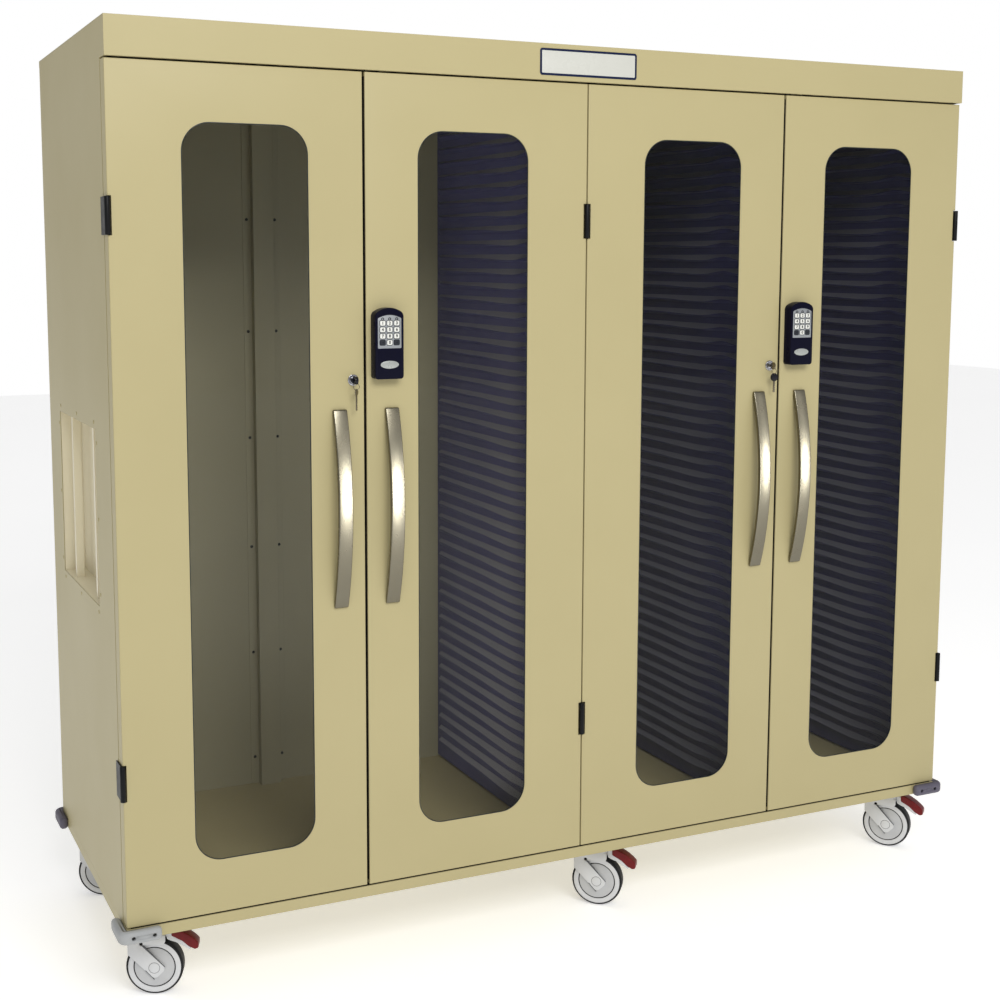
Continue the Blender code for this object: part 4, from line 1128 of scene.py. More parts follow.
@dataclass
class DoorSealsAndGapShade:
    """Black strips above and below the doors and on the free edges of the keypad doors: foam
    seals, and painted shade that darkens the gaps.
    """

    rest: float = 1.9 * MM
    first: float = 3.0 * MM
    last: float = 17.0 * MM
    margin: float = 9 * MM
    bar_room: float = 2 * MM
    bite: float = 0.1 * MM
    edge: float = 0.5 * MM

    def strip(self, low: Place, high: Place, name: str, body: str) -> None:
        """Model one strip between two corners and stick it to a body.

        Args:
            low: its lowest corner.
            high: its highest corner.
            name: the strip's name.
            body: the CAD body that it moves with.
        """
        strip = start_box(low, high)
        soften(strip, self.edge)
        finish_piece(strip, name, body, "black_hinge_plastic", SEAL_AND_GAP_SHADE)

    def build(self) -> None:
        """Lay the strips in the gaps round the doors."""
        left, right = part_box("door_1")[0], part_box("door_4")[1]
        near, far = left.y + self.first, left.y + self.last
        header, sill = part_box("top_cover")[0].z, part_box("base_pan")[1].z
        ends = (left.x + self.margin, right.x - self.margin)
        bars = [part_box(f"door_{door}_lock_bar") for door in (2, 4)]
        starts = [ends[0]] + [high.x + self.bar_room for low, high in bars]
        stops = [low.x - self.bar_room for low, high in bars] + [ends[1]]
        for number, (start, stop) in enumerate(zip(starts, stops), 1):
            self.strip((start, near, header - self.rest), (stop, far, header + self.bite),
                       f"header_seal_{number}", "case")
        self.strip((ends[0], near, sill - self.bite), (ends[1], far, sill + self.rest),
                   "sill_seal_and_shade", "case")
        for door in (2, 4):
            low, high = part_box(f"door_{door}")
            self.strip((low.x - self.rest, near, low.z + self.margin),
                       (low.x + self.bite, far, high.z - self.margin),
                       f"door_{door}_edge_seal_and_shade", f"door_{door}_leaf")


@dataclass
class BowHandle:
    """A broad bowed grip of plated zinc on two solid feet."""

    door: int
    edge: float = 2.6 * MM
    foot: float = 26 * MM
    end_rise: float = 6.5 * MM
    thickness: float = 10 * MM
    steps: int = 28

    def profile(self, length: float, reach: float) -> list[tuple[float, float, float]]:
        """Return the grip's stations from foot to foot: place, back and front.

        Args:
            length: the handle's whole length.
            reach: how far its crown stands from the door.

        Returns:
            One row a station, measured from the handle's middle and from the door.
        """
        rise = reach - self.end_rise
        radius = (length ** 2 / 4 + rise ** 2) / (2 * rise)
        rows = []
        for k in range(self.steps + 1):
            place = length * (k / self.steps - 0.5)
            front = reach - radius + sqrt(radius ** 2 - place ** 2)
            solid = abs(place) > length / 2 - self.foot
            rows.append((place, 0.0 if solid else max(front - self.thickness, 0.0), front))
        return rows

    def build(self) -> Obj:
        """Model the grip, put it on its door and return it.

        Returns:
            The handle.
        """
        node = f"door_{self.door}_handle"
        low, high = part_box(node)
        grip = stationed_block(self.profile(high.z - low.z, high.y - low.y),
                               (high.x - low.x) / 2)
        grip.matrix_world = Matrix((
            (0, -1, 0, (low.x + high.x) / 2), (0, 0, -1, high.y),
            (1, 0, 0, (low.z + high.z) / 2), (0, 0, 0, 1)))
        settle(grip)
        soften(grip, self.edge, 5, 40)
        return finish_piece(grip, f"door_{self.door}_bow_handle", f"door_{self.door}_leaf",
                            "satin_nickel", SATIN_NICKEL, node)


@dataclass
class KeypadLock:
    """A keypad in its moulded case, with a key plate, twelve keys and a blank badge."""

    door: int
    arch: float = 12 * MM
    corner: float = 8 * MM
    edge: float = 5 * MM
    plate_width: float = 54 * MM
    plate_bottom: float = 66 * MM
    plate_height: float = 71 * MM
    plate_arch: float = 7 * MM
    plate_corner: float = 1.6 * MM
    plate_rise: float = 0.3 * MM
    plate_root: float = 0.4 * MM
    plate_soft: float = 0.15 * MM
    key_width: float = 12.0 * MM
    key_height: float = 10.2 * MM
    key_rise: float = 1.6 * MM
    key_root: float = 0.6 * MM
    key_corner: float = 2.4 * MM
    key_crown: float = 0.7 * MM
    pitch_x: float = 16.2 * MM
    pitch_z: float = 13.8 * MM
    keys_middle: float = 99 * MM
    digit_size: float = 8.6 * MM
    digit_weight: float = 0.34 * MM
    digit_rise: float = 0.06 * MM
    # The dark rim round each key, a painted shadow: its width, then its rise, root and corner.
    well: float = 1.25 * MM
    shadow_rim_rise: float = 0.45 * MM
    shadow_rim_root: float = 0.5 * MM
    shadow_rim_corner: float = 3.2 * MM
    # Half the bar's width and half its height.
    dark_bar: tuple[float, float] = (2.6 * MM, 0.6 * MM)
    bar_rise: float = 0.08 * MM
    bar_root: float = 0.1 * MM
    bar_soft: float = 0.05 * MM
    # Its inner and its outer radius.
    lamp_ring: tuple[float, float] = (1.7 * MM, 3.4 * MM)
    lamp_drop: float = 8.5 * MM
    lamp_seat: float = 0.4 * MM
    lamp_depth: float = 0.9 * MM
    lamp_soft: float = 0.25 * MM
    # Half its width and half its height.
    badge: tuple[float, float] = (21 * MM, 8.4 * MM)
    badge_middle: float = 31 * MM
    badge_seat: float = 0.1 * MM
    badge_depth: float = 1.2 * MM
    badge_soft: float = 0.35 * MM
    # From the lower left, row by row; a dark key has none.
    labels: tuple[str, ...] = ("", "0", "", "7", "8", "9", "4", "5", "6", "1", "2", "3")

    @property
    def body(self) -> str:
        """The CAD body of the door that carries the keypad."""
        return f"door_{self.door}_leaf"

    def build(self) -> None:
        """Model the case, the plate, the keys, their numbers and the badge."""
        low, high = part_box(f"door_{self.door}_keypad_housing")
        self.middle, self.face, self.bottom = (low.x + high.x) / 2, low.y, low.z
        case = arched_block(low, high, self.arch, self.corner)
        round_edges(case, lambda mid, way: abs(mid.y - low.y) < EPS, self.edge, 4)
        smooth(case, 40)
        finish_piece(case, f"door_{self.door}_keypad_case", self.body, "navy_keypad_plastic",
                     KEYPAD_NAVY, f"door_{self.door}_keypad_housing")
        plate = self.plate()
        soften(plate, self.plate_soft)
        finish_piece(plate, f"door_{self.door}_key_plate", self.body, "satin_nickel",
                     KEYPAD_PLATE)
        self.build_keys()
        self.build_signs()
        self.build_badge()

    def plate(self) -> Obj:
        """Model the arched key plate, stuck to the face of the case.

        Returns:
            The plate.
        """
        half = self.plate_width / 2
        return arched_block(
            (self.middle - half, self.face - self.plate_rise, self.bottom + self.plate_bottom),
            (self.middle + half, self.face + self.plate_root,
             self.bottom + self.plate_bottom + self.plate_height),
            self.plate_arch, self.plate_corner)

    def key_place(self, number: int) -> tuple[float, float]:
        """Find where a key's middle is.

        Args:
            number: the key's number, counted by rows from the lower left.

        Returns:
            Its x and z.
        """
        row, column = divmod(number, 3)
        return (self.middle + (column - 1) * self.pitch_x,
                self.bottom + self.keys_middle + (row - 1.5) * self.pitch_z)

    def build_keys(self) -> None:
        """Model one crowned key and copy it to every place."""
        w, h, front = self.key_width / 2, self.key_height / 2, -self.key_rise
        first = start_box((-w, front, -h), (w, self.key_root, h))
        round_edges(first, lambda mid, way: abs(way.y) > ALONG, self.key_corner, 4)
        round_edges(first, lambda mid, way: abs(mid.y - front) < EPS, self.key_crown, 3)
        smooth(first, 50)
        white, dark = [], []
        for number, label in enumerate(self.labels):
            x, z = self.key_place(number)
            group = white if label else dark
            group.append(twin(first, Vector((x, self.face, z))))
        bpy.data.objects.remove(first, do_unlink=True)
        self.build_key_shadow_rims()
        body = f"door_{self.door}_keys"
        finish_piece(join(*white), f"door_{self.door}_white_keys", body, "white_key_rubber",
                     KEY_WHITE, f"door_{self.door}_keypad_keys")
        finish_piece(join(*dark), f"door_{self.door}_dark_keys", body, "white_key_rubber",
                     KEY_DARK)

    def build_key_shadow_rims(self) -> None:
        """Set a dark rim round each key, as painted shadow."""
        w, h, rim = self.key_width / 2, self.key_height / 2, self.well
        first = start_box((-w - rim, -self.shadow_rim_rise, -h - rim),
                          (w + rim, self.shadow_rim_root, h + rim))
        round_edges(first, lambda mid, way: abs(way.y) > ALONG, self.shadow_rim_corner, 4)
        smooth(first, 50)
        shadow_rims = [twin(first, Vector((x, self.face, z)))
                 for x, z in map(self.key_place, range(len(self.labels)))]
        bpy.data.objects.remove(first, do_unlink=True)
        finish_piece(join(*shadow_rims), f"door_{self.door}_key_painted_shadow_rims", self.body,
                     "navy_keypad_plastic", KEY_DARK)

    def build_signs(self) -> None:
        """Print the plain numbers on the keys, and set three lamp rings above them."""
        signs, top, (w, h) = [], self.face - self.key_rise, self.dark_bar
        for number, label in enumerate(self.labels):
            x, z = self.key_place(number)
            if not label:
                bar = start_box((x - w, top - self.bar_rise, z - h),
                                (x + w, top + self.bar_root, z + h))
                signs.append(soften(bar, self.bar_soft))
                continue
            deselect()
            bpy.ops.object.text_add(location=(x, top - self.digit_rise, z),
                                    rotation=(pi / 2, 0, 0))
            sign = bpy.context.active_object
            sign.data.body = label
            sign.data.size = self.digit_size
            sign.data.align_x = "CENTER"
            sign.data.align_y = "CENTER"
            sign.data.extrude = self.digit_rise
            sign.data.offset = self.digit_weight
            sign.data.resolution_u = 3
            take(sign)
            bpy.ops.object.convert(target="MESH")
            signs.append(settle(bpy.context.active_object))
        finish_piece(join(*signs), f"door_{self.door}_key_numbers", f"door_{self.door}_keys",
                     "navy_keypad_plastic", KEY_INK)
        lamps, (inner, outer) = [], self.lamp_ring
        for column in (-1, 0, 1):
            z = self.bottom + self.plate_bottom + self.plate_height - self.lamp_drop
            seat = Vector((self.middle + column * self.pitch_x, self.face - self.lamp_seat, z))
            lamp = start_rod(seat, outer, self.lamp_depth, Axis.Y, 24)
            carve(lamp, start_rod(seat, inner, 4 * self.lamp_depth, Axis.Y, 18))
            lamps.append(soften(lamp, self.lamp_soft))
        finish_piece(join(*lamps), f"door_{self.door}_keypad_lamps", self.body,
                     "navy_keypad_plastic", KEY_DARK)

    def build_badge(self) -> None:
        """Stick the blank oval badge below the keys."""
        half_width, half_height = self.badge
        badge = start_rod((0, 0, 0), half_height, self.badge_depth, Axis.Y, 40)
        with editing(badge, Kind.VERT):
            bpy.ops.mesh.select_all(action="SELECT")
            bpy.ops.transform.resize(value=(half_width / half_height, 1, 1))
        soften(badge, self.badge_soft)
        placed = twin(badge, Vector((self.middle, self.face + self.badge_seat,
                                     self.bottom + self.badge_middle)))
        bpy.data.objects.remove(badge, do_unlink=True)
        finish_piece(placed, f"door_{self.door}_blank_badge", self.body, "satin_nickel",
                     BLANK_BADGE)


@dataclass
class KeyLock:
    """A cam lock with its key in it, and the spare key on a ring below."""

    door: int
    collar: float = 12.3 * MM
    plug: float = 7.8 * MM
    collar_rise: float = 2.9 * MM
    collar_seat: float = 0.1 * MM
    plug_gap: float = 0.3 * MM
    plug_rise: float = 1.2 * MM
    collar_soft: float = 1.0 * MM
    plug_soft: float = 0.5 * MM
    cut: float = 12 * MM
    cam_half: float = 6 * MM
    cam_sheet: float = 2.5 * MM
    head_height: float = 17 * MM
    head_front: float = 3.4 * MM
    head_depth: float = 17.6 * MM
    head_corner: float = 7.5 * MM
    head_soft_share: float = 0.45
    shoulder: float = 6.9 * MM
    shoulder_lap: float = 3 * MM
    shoulder_gap: float = 2 * MM
    ring_hole: float = 2.3 * MM
    hole_drop: float = 5 * MM
    # Half its thickness, and half its width, which is half the plastic grip's thickness too.
    blade: tuple[float, float] = (1.2 * MM, 3.2 * MM)
    blade_lap: float = 2 * MM
    blade_soft: float = 0.4 * MM
    ring: float = 6.6 * MM
    wire: float = 0.75 * MM
    spare_tip: float = 6 * MM
    spare_lap: float = 2.4 * MM
    spare_nose: float = 2.0 * MM
    spare_soft: float = 0.25 * MM
    # How far it lies below the head's top, and its radius.
    spare_hole: tuple[float, float] = (3.2 * MM, 1.9 * MM)
    # Half its thickness and half its width.
    spare_blade: tuple[float, float] = (0.9 * MM, 2.8 * MM)
    bite_side: float = 3.1 * MM
    # How far each bite lies above the tip, and its radius.
    bites: tuple[tuple[float, float], ...] = (
        (4 * MM, 1.0 * MM), (9 * MM, 1.35 * MM), (14 * MM, 1.7 * MM), (19 * MM, 1.0 * MM))
    # Each head's radius, half its thickness and the key's turn about Z.
    plain_spare: tuple[float, float, float] = (7.5 * MM, 1.0 * MM, radians(45))
    round_spare: tuple[float, float, float] = (9.8 * MM, 2.6 * MM, radians(6))

    @property
    def plastic_key(self) -> bool:
        """Whether the key in the lock has the plastic grip; the spare then has none."""
        return self.door == 1

    def build(self) -> None:
        """Model the collar, the plug with its cam, the key in it and the spare key."""
        leaf, turning = f"door_{self.door}_leaf", f"door_{self.door}_lock"
        node = f"door_{self.door}_key_lock"
        low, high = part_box(node)
        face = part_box(f"door_{self.door}")[0].y
        x, z = (low.x + high.x) / 2, high.z - LOCK_DROP
        near, far = face - self.collar_rise, face - self.collar_seat
        collar = start_rod((x, (near + far) / 2, z), self.collar, far - near, Axis.Y, 40)
        carve(collar, start_rod((x, face, z), self.plug + self.plug_gap, self.cut, Axis.Y, 32))
        soften(collar, self.collar_soft, 3)
        finish_piece(collar, f"door_{self.door}_lock_collar", leaf, "polished_chrome",
                     BRIGHT_CHROME)
        near, half = face - self.plug_rise, self.cam_half
        plug = start_rod((x, (near + high.y) / 2, z), self.plug, high.y - near, Axis.Y, 32)
        cam = start_box((x - half, high.y - self.cam_sheet, z - half), (x + half, high.y, high.z))
        fuse(plug, cam)
        soften(plug, self.plug_soft)
        finish_piece(plug, f"door_{self.door}_lock_plug", turning, "polished_chrome",
                     BRIGHT_CHROME, node)
        self.build_key(Vector((x, low.y + self.head_front, z)), face, turning)
        self.build_spare()

    def build_key(self, front: Vector, face: float, turning: str) -> None:
        """Model the key in the lock, with a plastic grip or a plain steel head.

        Args:
            front: the foremost point of the key's head.
            face: where the door's face is.
            turning: the CAD body that turns with the key.
        """
        x, y, z = front
        back = y + self.head_depth
        half, width = self.blade
        blade = start_box((x - half, back - self.blade_lap, z - width),
                          (x + half, face, z + width))
        soften(blade, self.blade_soft)
        if self.plastic_key:
            half = width
        head = start_box((x - half, y, z - self.head_height / 2),
                         (x + half, back, z + self.head_height / 2))
        round_edges(head, lambda mid, way: abs(way.x) > ALONG, self.head_corner, 8)
        if self.plastic_key:
            near, far = back - self.shoulder_lap, face - self.shoulder_gap
            fuse(head, start_rod((x, (near + far) / 2, z), self.shoulder, far - near, Axis.Y, 32))
        low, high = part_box(f"door_{self.door}_spare_key")
        carve(head, start_rod((x, (low.y + high.y) / 2, z - self.hole_drop), self.ring_hole,
                              self.cut, Axis.X, 20))
        soften(head, self.head_soft_share * half, 3)
        finish_piece(blade, f"door_{self.door}_key_blade", turning, "polished_chrome", KEY_STEEL)
        finish_piece(head, f"door_{self.door}_key_head", turning, "navy_keypad_plastic",
                     KEY_BLACK if self.plastic_key else KEY_STEEL)

    def build_spare(self) -> None:
        """Model the ring and the spare key that hang from the key in the lock."""
        node, body = f"door_{self.door}_spare_key", f"door_{self.door}_hanging_key"
        low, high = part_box(node)
        x, y = (low.x + high.x) / 2, (low.y + high.y) / 2
        top = high.z - self.wire
        deselect()
        bpy.ops.mesh.primitive_torus_add(
            location=(x, y, top - self.ring), rotation=(pi / 2, 0, 0), major_segments=40,
            minor_segments=8, major_radius=self.ring, minor_radius=self.wire)
        ring = smooth(settle(bpy.context.active_object), 80)
        radius, half, turn = self.plain_spare if self.plastic_key else self.round_spare
        hub = top - 2 * self.ring - radius + self.spare_lap
        tip = low.z + self.spare_tip
        thick, wide = self.spare_blade
        blade = start_box((-wide, -thick, tip), (wide, thick, hub))
        round_edges(blade, lambda mid, way: abs(way.y) > ALONG and mid.z < tip + EPS,
                    self.spare_nose, 3)
        for rise, bite in self.bites:
            carve(blade, start_rod((self.bite_side, 0, tip + rise), bite, self.cut, Axis.Y, 8))
        soften(blade, self.spare_soft)
        head = start_rod((0, 0, hub), radius, 2 * half, Axis.Y, 40)
        drop, hole = self.spare_hole
        carve(head, start_rod((0, 0, hub + radius - drop), hole, self.cut, Axis.Y, 20))
        soften(head, half / 2, 4)
        place = Vector((x, y, 0))
        hung = join(ring, twin(blade, place, turn))
        finish_piece(hung, f"door_{self.door}_spare_key_steel", body, "polished_chrome",
                     KEY_STEEL, node)
        grip = twin(head, place, turn)
        finish_piece(grip, f"door_{self.door}_spare_key_head", body, "polished_chrome",
                     KEY_STEEL if self.plastic_key else KEY_BLACK)
        for start in (blade, head):
            bpy.data.objects.remove(start, do_unlink=True)


# The hinges, the bumpers and the liners

@dataclass
class HingeSet:
    """The six moulded hinges, with their edges broken."""

    edge: float = 0.9 * MM

    def build(self) -> None:
        """Round the edges of each hinge."""
        for height in ("top", "lower"):
            for side in ("left", "centre", "right"):
                node = f"{height}_{side}_hinge"
                hinge = merged_node(node)
                soften(hinge, self.edge, 2, 40)
                finish_piece(hinge, f"{node}_body", "case", "black_hinge_plastic",
                             HINGE_BLACK, node)


@dataclass
class CornerBumper:
    """A moulded corner bumper, held to the base by two screws."""

    end: str
    side: str
    leg: float = 71 * MM
    proud: float = 20 * MM
    corner: float = 20 * MM
    edge: float = 8.5 * MM
    # How far each screw stands from the case's corner.
    screw_offsets: tuple[float, float] = (10 * MM, 54 * MM)
    well: float = 4.2 * MM
    well_depth: float = 7 * MM
    screw_head: float = 3.9 * MM
    screw_depth: float = 3 * MM
    screw_soft: float = 0.6 * MM
    seat_share: float = 0.8
    over: float = 5 * MM

    def build(self) -> None:
        """Model the L, round it, sink its screws and give it its rubber."""
        node = f"{self.end}_{self.side}_bumper"
        low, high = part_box(node)
        out_x = -1 if self.side == "left" else 1
        out_y = -1 if self.end == "front" else 1
        block = start_box(low, high)
        x_in, x_out = (low.x, high.x) if out_x > 0 else (high.x, low.x)
        y_in, y_out = (low.y, high.y) if out_y > 0 else (high.y, low.y)
        over = self.over
        xs = sorted((x_in - out_x * over, x_in + out_x * self.leg))
        ys = sorted((y_in - out_y * over, y_in + out_y * self.leg))
        carve(block, start_box((xs[0], ys[0], low.z - over), (xs[1], ys[1], high.z + over)))
        round_edges(block, lambda mid, way: abs(way.z) > ALONG and abs(mid.x - x_out) < EPS
                    and abs(mid.y - y_out) < EPS, self.corner, 8)
        soften(block, self.edge, 5, 40)
        self.cut_screw_wells(block, x_out, y_out, out_x, out_y, (low.z + high.z) / 2)
        light = (self.end, self.side) == ("front", "left")
        finish_piece(block, f"{node}_moulding", "case",
                     "light_bumper_rubber" if light else "dark_bumper_rubber",
                     BUMPER_LIGHT if light else BUMPER_DARK, node)

    def cut_screw_wells(self, block: Obj, x_out: float, y_out: float, out_x: int, out_y: int,
                        z: float) -> None:
        """Sink two screw wells in the front or rear leg, and set the screws in them.

        Args:
            block: the bumper's block.
            x_out: where its outer side is.
            y_out: where its outer front or rear is.
            out_x: -1 on the left and 1 on the right.
            out_y: -1 at the front and 1 at the rear.
            z: the height of the screws.
        """
        screws, depth = [], self.well_depth
        for offset in self.screw_offsets:
            x = x_out - out_x * (self.proud + offset)
            centre = Vector((x, y_out, z))
            carve(block, start_rod(centre, self.well, 2 * depth, Axis.Y, 20))
            seat = centre - Vector((0, out_y * depth * self.seat_share, 0))
            screw = start_rod(seat, self.screw_head, self.screw_depth, Axis.Y, 20)
            screws.append(soften(screw, self.screw_soft))
        finish_piece(join(*screws), f"{self.end}_{self.side}_bumper_screws", "case",
                     "plated_steel", DARK_SCREW)


@dataclass
class TrayLiner:
    """A formed liner: a flat sheet with a shelf rib every pitch, each with a wavy nose."""

    node: str
    side: int
    sheet: float = 3 * MM
    pitch: float = 35.3 * MM
    rib_height: float = 18 * MM
    rib_depth: float = 12 * MM
    border: float = 22 * MM
    end_border: float = 30 * MM
    # How deep a rib is rooted in the sheet, and how thick its nose is.
    root: float = 0.5 * MM
    nose: float = 2.2 * MM
    taper: float = 11 * MM
    # Its depth, half its length and its height.
    slot: tuple[float, float, float] = (1.2 * MM, 3.5 * MM, 3 * MM)
    slot_rise: float = 1 * MM
    slot_share: float = 0.62
    cuts: int = 30
    # How far back from the front edge, and how high the nose lies there.
    wave: tuple[tuple[float, float], ...] = (
        (0.000, 0.6 * MM), (0.040, 1.0 * MM), (0.100, 9.0 * MM), (0.205, 1.0 * MM),
        (0.420, 6.5 * MM), (0.660, 10.5 * MM))

    def lift(self, place: float) -> float:
        """Follow the wave of a rib's nose.

        Args:
            place: how far back from the liner's front edge.

        Returns:
            How high the nose lies there.
        """
        for (a, low), (b, high) in zip(self.wave, self.wave[1:]):
            if place <= b:
                share = (place - a) / (b - a)
                return low + (high - low) * (1 - cos(pi * share)) / 2
        return self.wave[-1][1]

    def build(self) -> Obj:
        """Model the sheet and a rib, copy the rib up the sheet, and return the liner.

        Returns:
            The liner.
        """
        low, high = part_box(self.node)
        back = low.x if self.side > 0 else high.x
        wall = back + self.side * self.sheet
        sheet = start_box((min(back, wall), low.y, low.z), (max(back, wall), high.y, high.z))
        count = int((high.z - low.z - 2 * self.end_border) / self.pitch)
        first = low.z + (high.z - low.z - count * self.pitch) / 2
        rib = self.rib(wall, low.y, high.y)
        ribs, slots, inset = [], [], self.border * self.slot_share
        depth, half, height = self.slot
        for k in range(count):
            z = first + k * self.pitch
            ribs.append(twin(rib, Vector((0, 0, z))))
            for y in (low.y + inset, high.y - inset):
                slots.append(start_box((wall - depth, y - half, z + self.slot_rise),
                                       (wall + depth, y + half, z + self.slot_rise + height)))
        bpy.data.objects.remove(rib, do_unlink=True)
        carve(sheet, join(*slots))
        smooth(sheet, 30)
        return finish_piece(join(sheet, *ribs), f"{self.node}_formed", "case",
                            "black_liner_plastic", LINER_ABS, self.node)

    def rib(self, wall: float, y0: float, y1: float) -> Obj:
        """Model one rib at height zero, its nose waved and its ends tapered.

        Args:
            wall: where the sheet's face is.
            y0: the liner's front edge.
            y1: the liner's rear edge.

        Returns:
            The rib.
        """
        root = wall - self.side * self.root
        nose = wall + self.side * self.rib_depth
        front, rear = y0 + self.border, y1 - self.border
        rib = start_box((min(root, nose), front, 0), (max(root, nose), rear, self.rib_height))
        with editing(rib, Kind.EDGE):
            pick(rib, Kind.EDGE, lambda mid, way: abs(way.y) > ALONG)
            bpy.ops.mesh.subdivide(number_cuts=self.cuts)
        with editing(rib, Kind.VERT):
            for k in range(self.cuts + 2):
                y = front + (rear - front) * k / (self.cuts + 1)
                rise = self.lift(y - y0)
                taper = {0: self.taper, self.cuts + 1: -self.taper}.get(k, 0)
                for level, goal in ((0, rise), (self.rib_height, rise + self.nose)):
                    pick(rib, Kind.VERT, lambda mid, way: abs(mid.y - y) < EPS
                         and abs(mid.x - nose) < EPS and abs(mid.z - level) < EPS)
                    bpy.ops.transform.translate(value=(0, 0, goal - level))
                if taper:
                    pick(rib, Kind.VERT, lambda mid, way: abs(mid.y - y) < EPS
                         and abs(mid.x - nose) < EPS)
                    bpy.ops.transform.translate(value=(0, taper, 0))
        return smooth(rib, 30)


# The casters

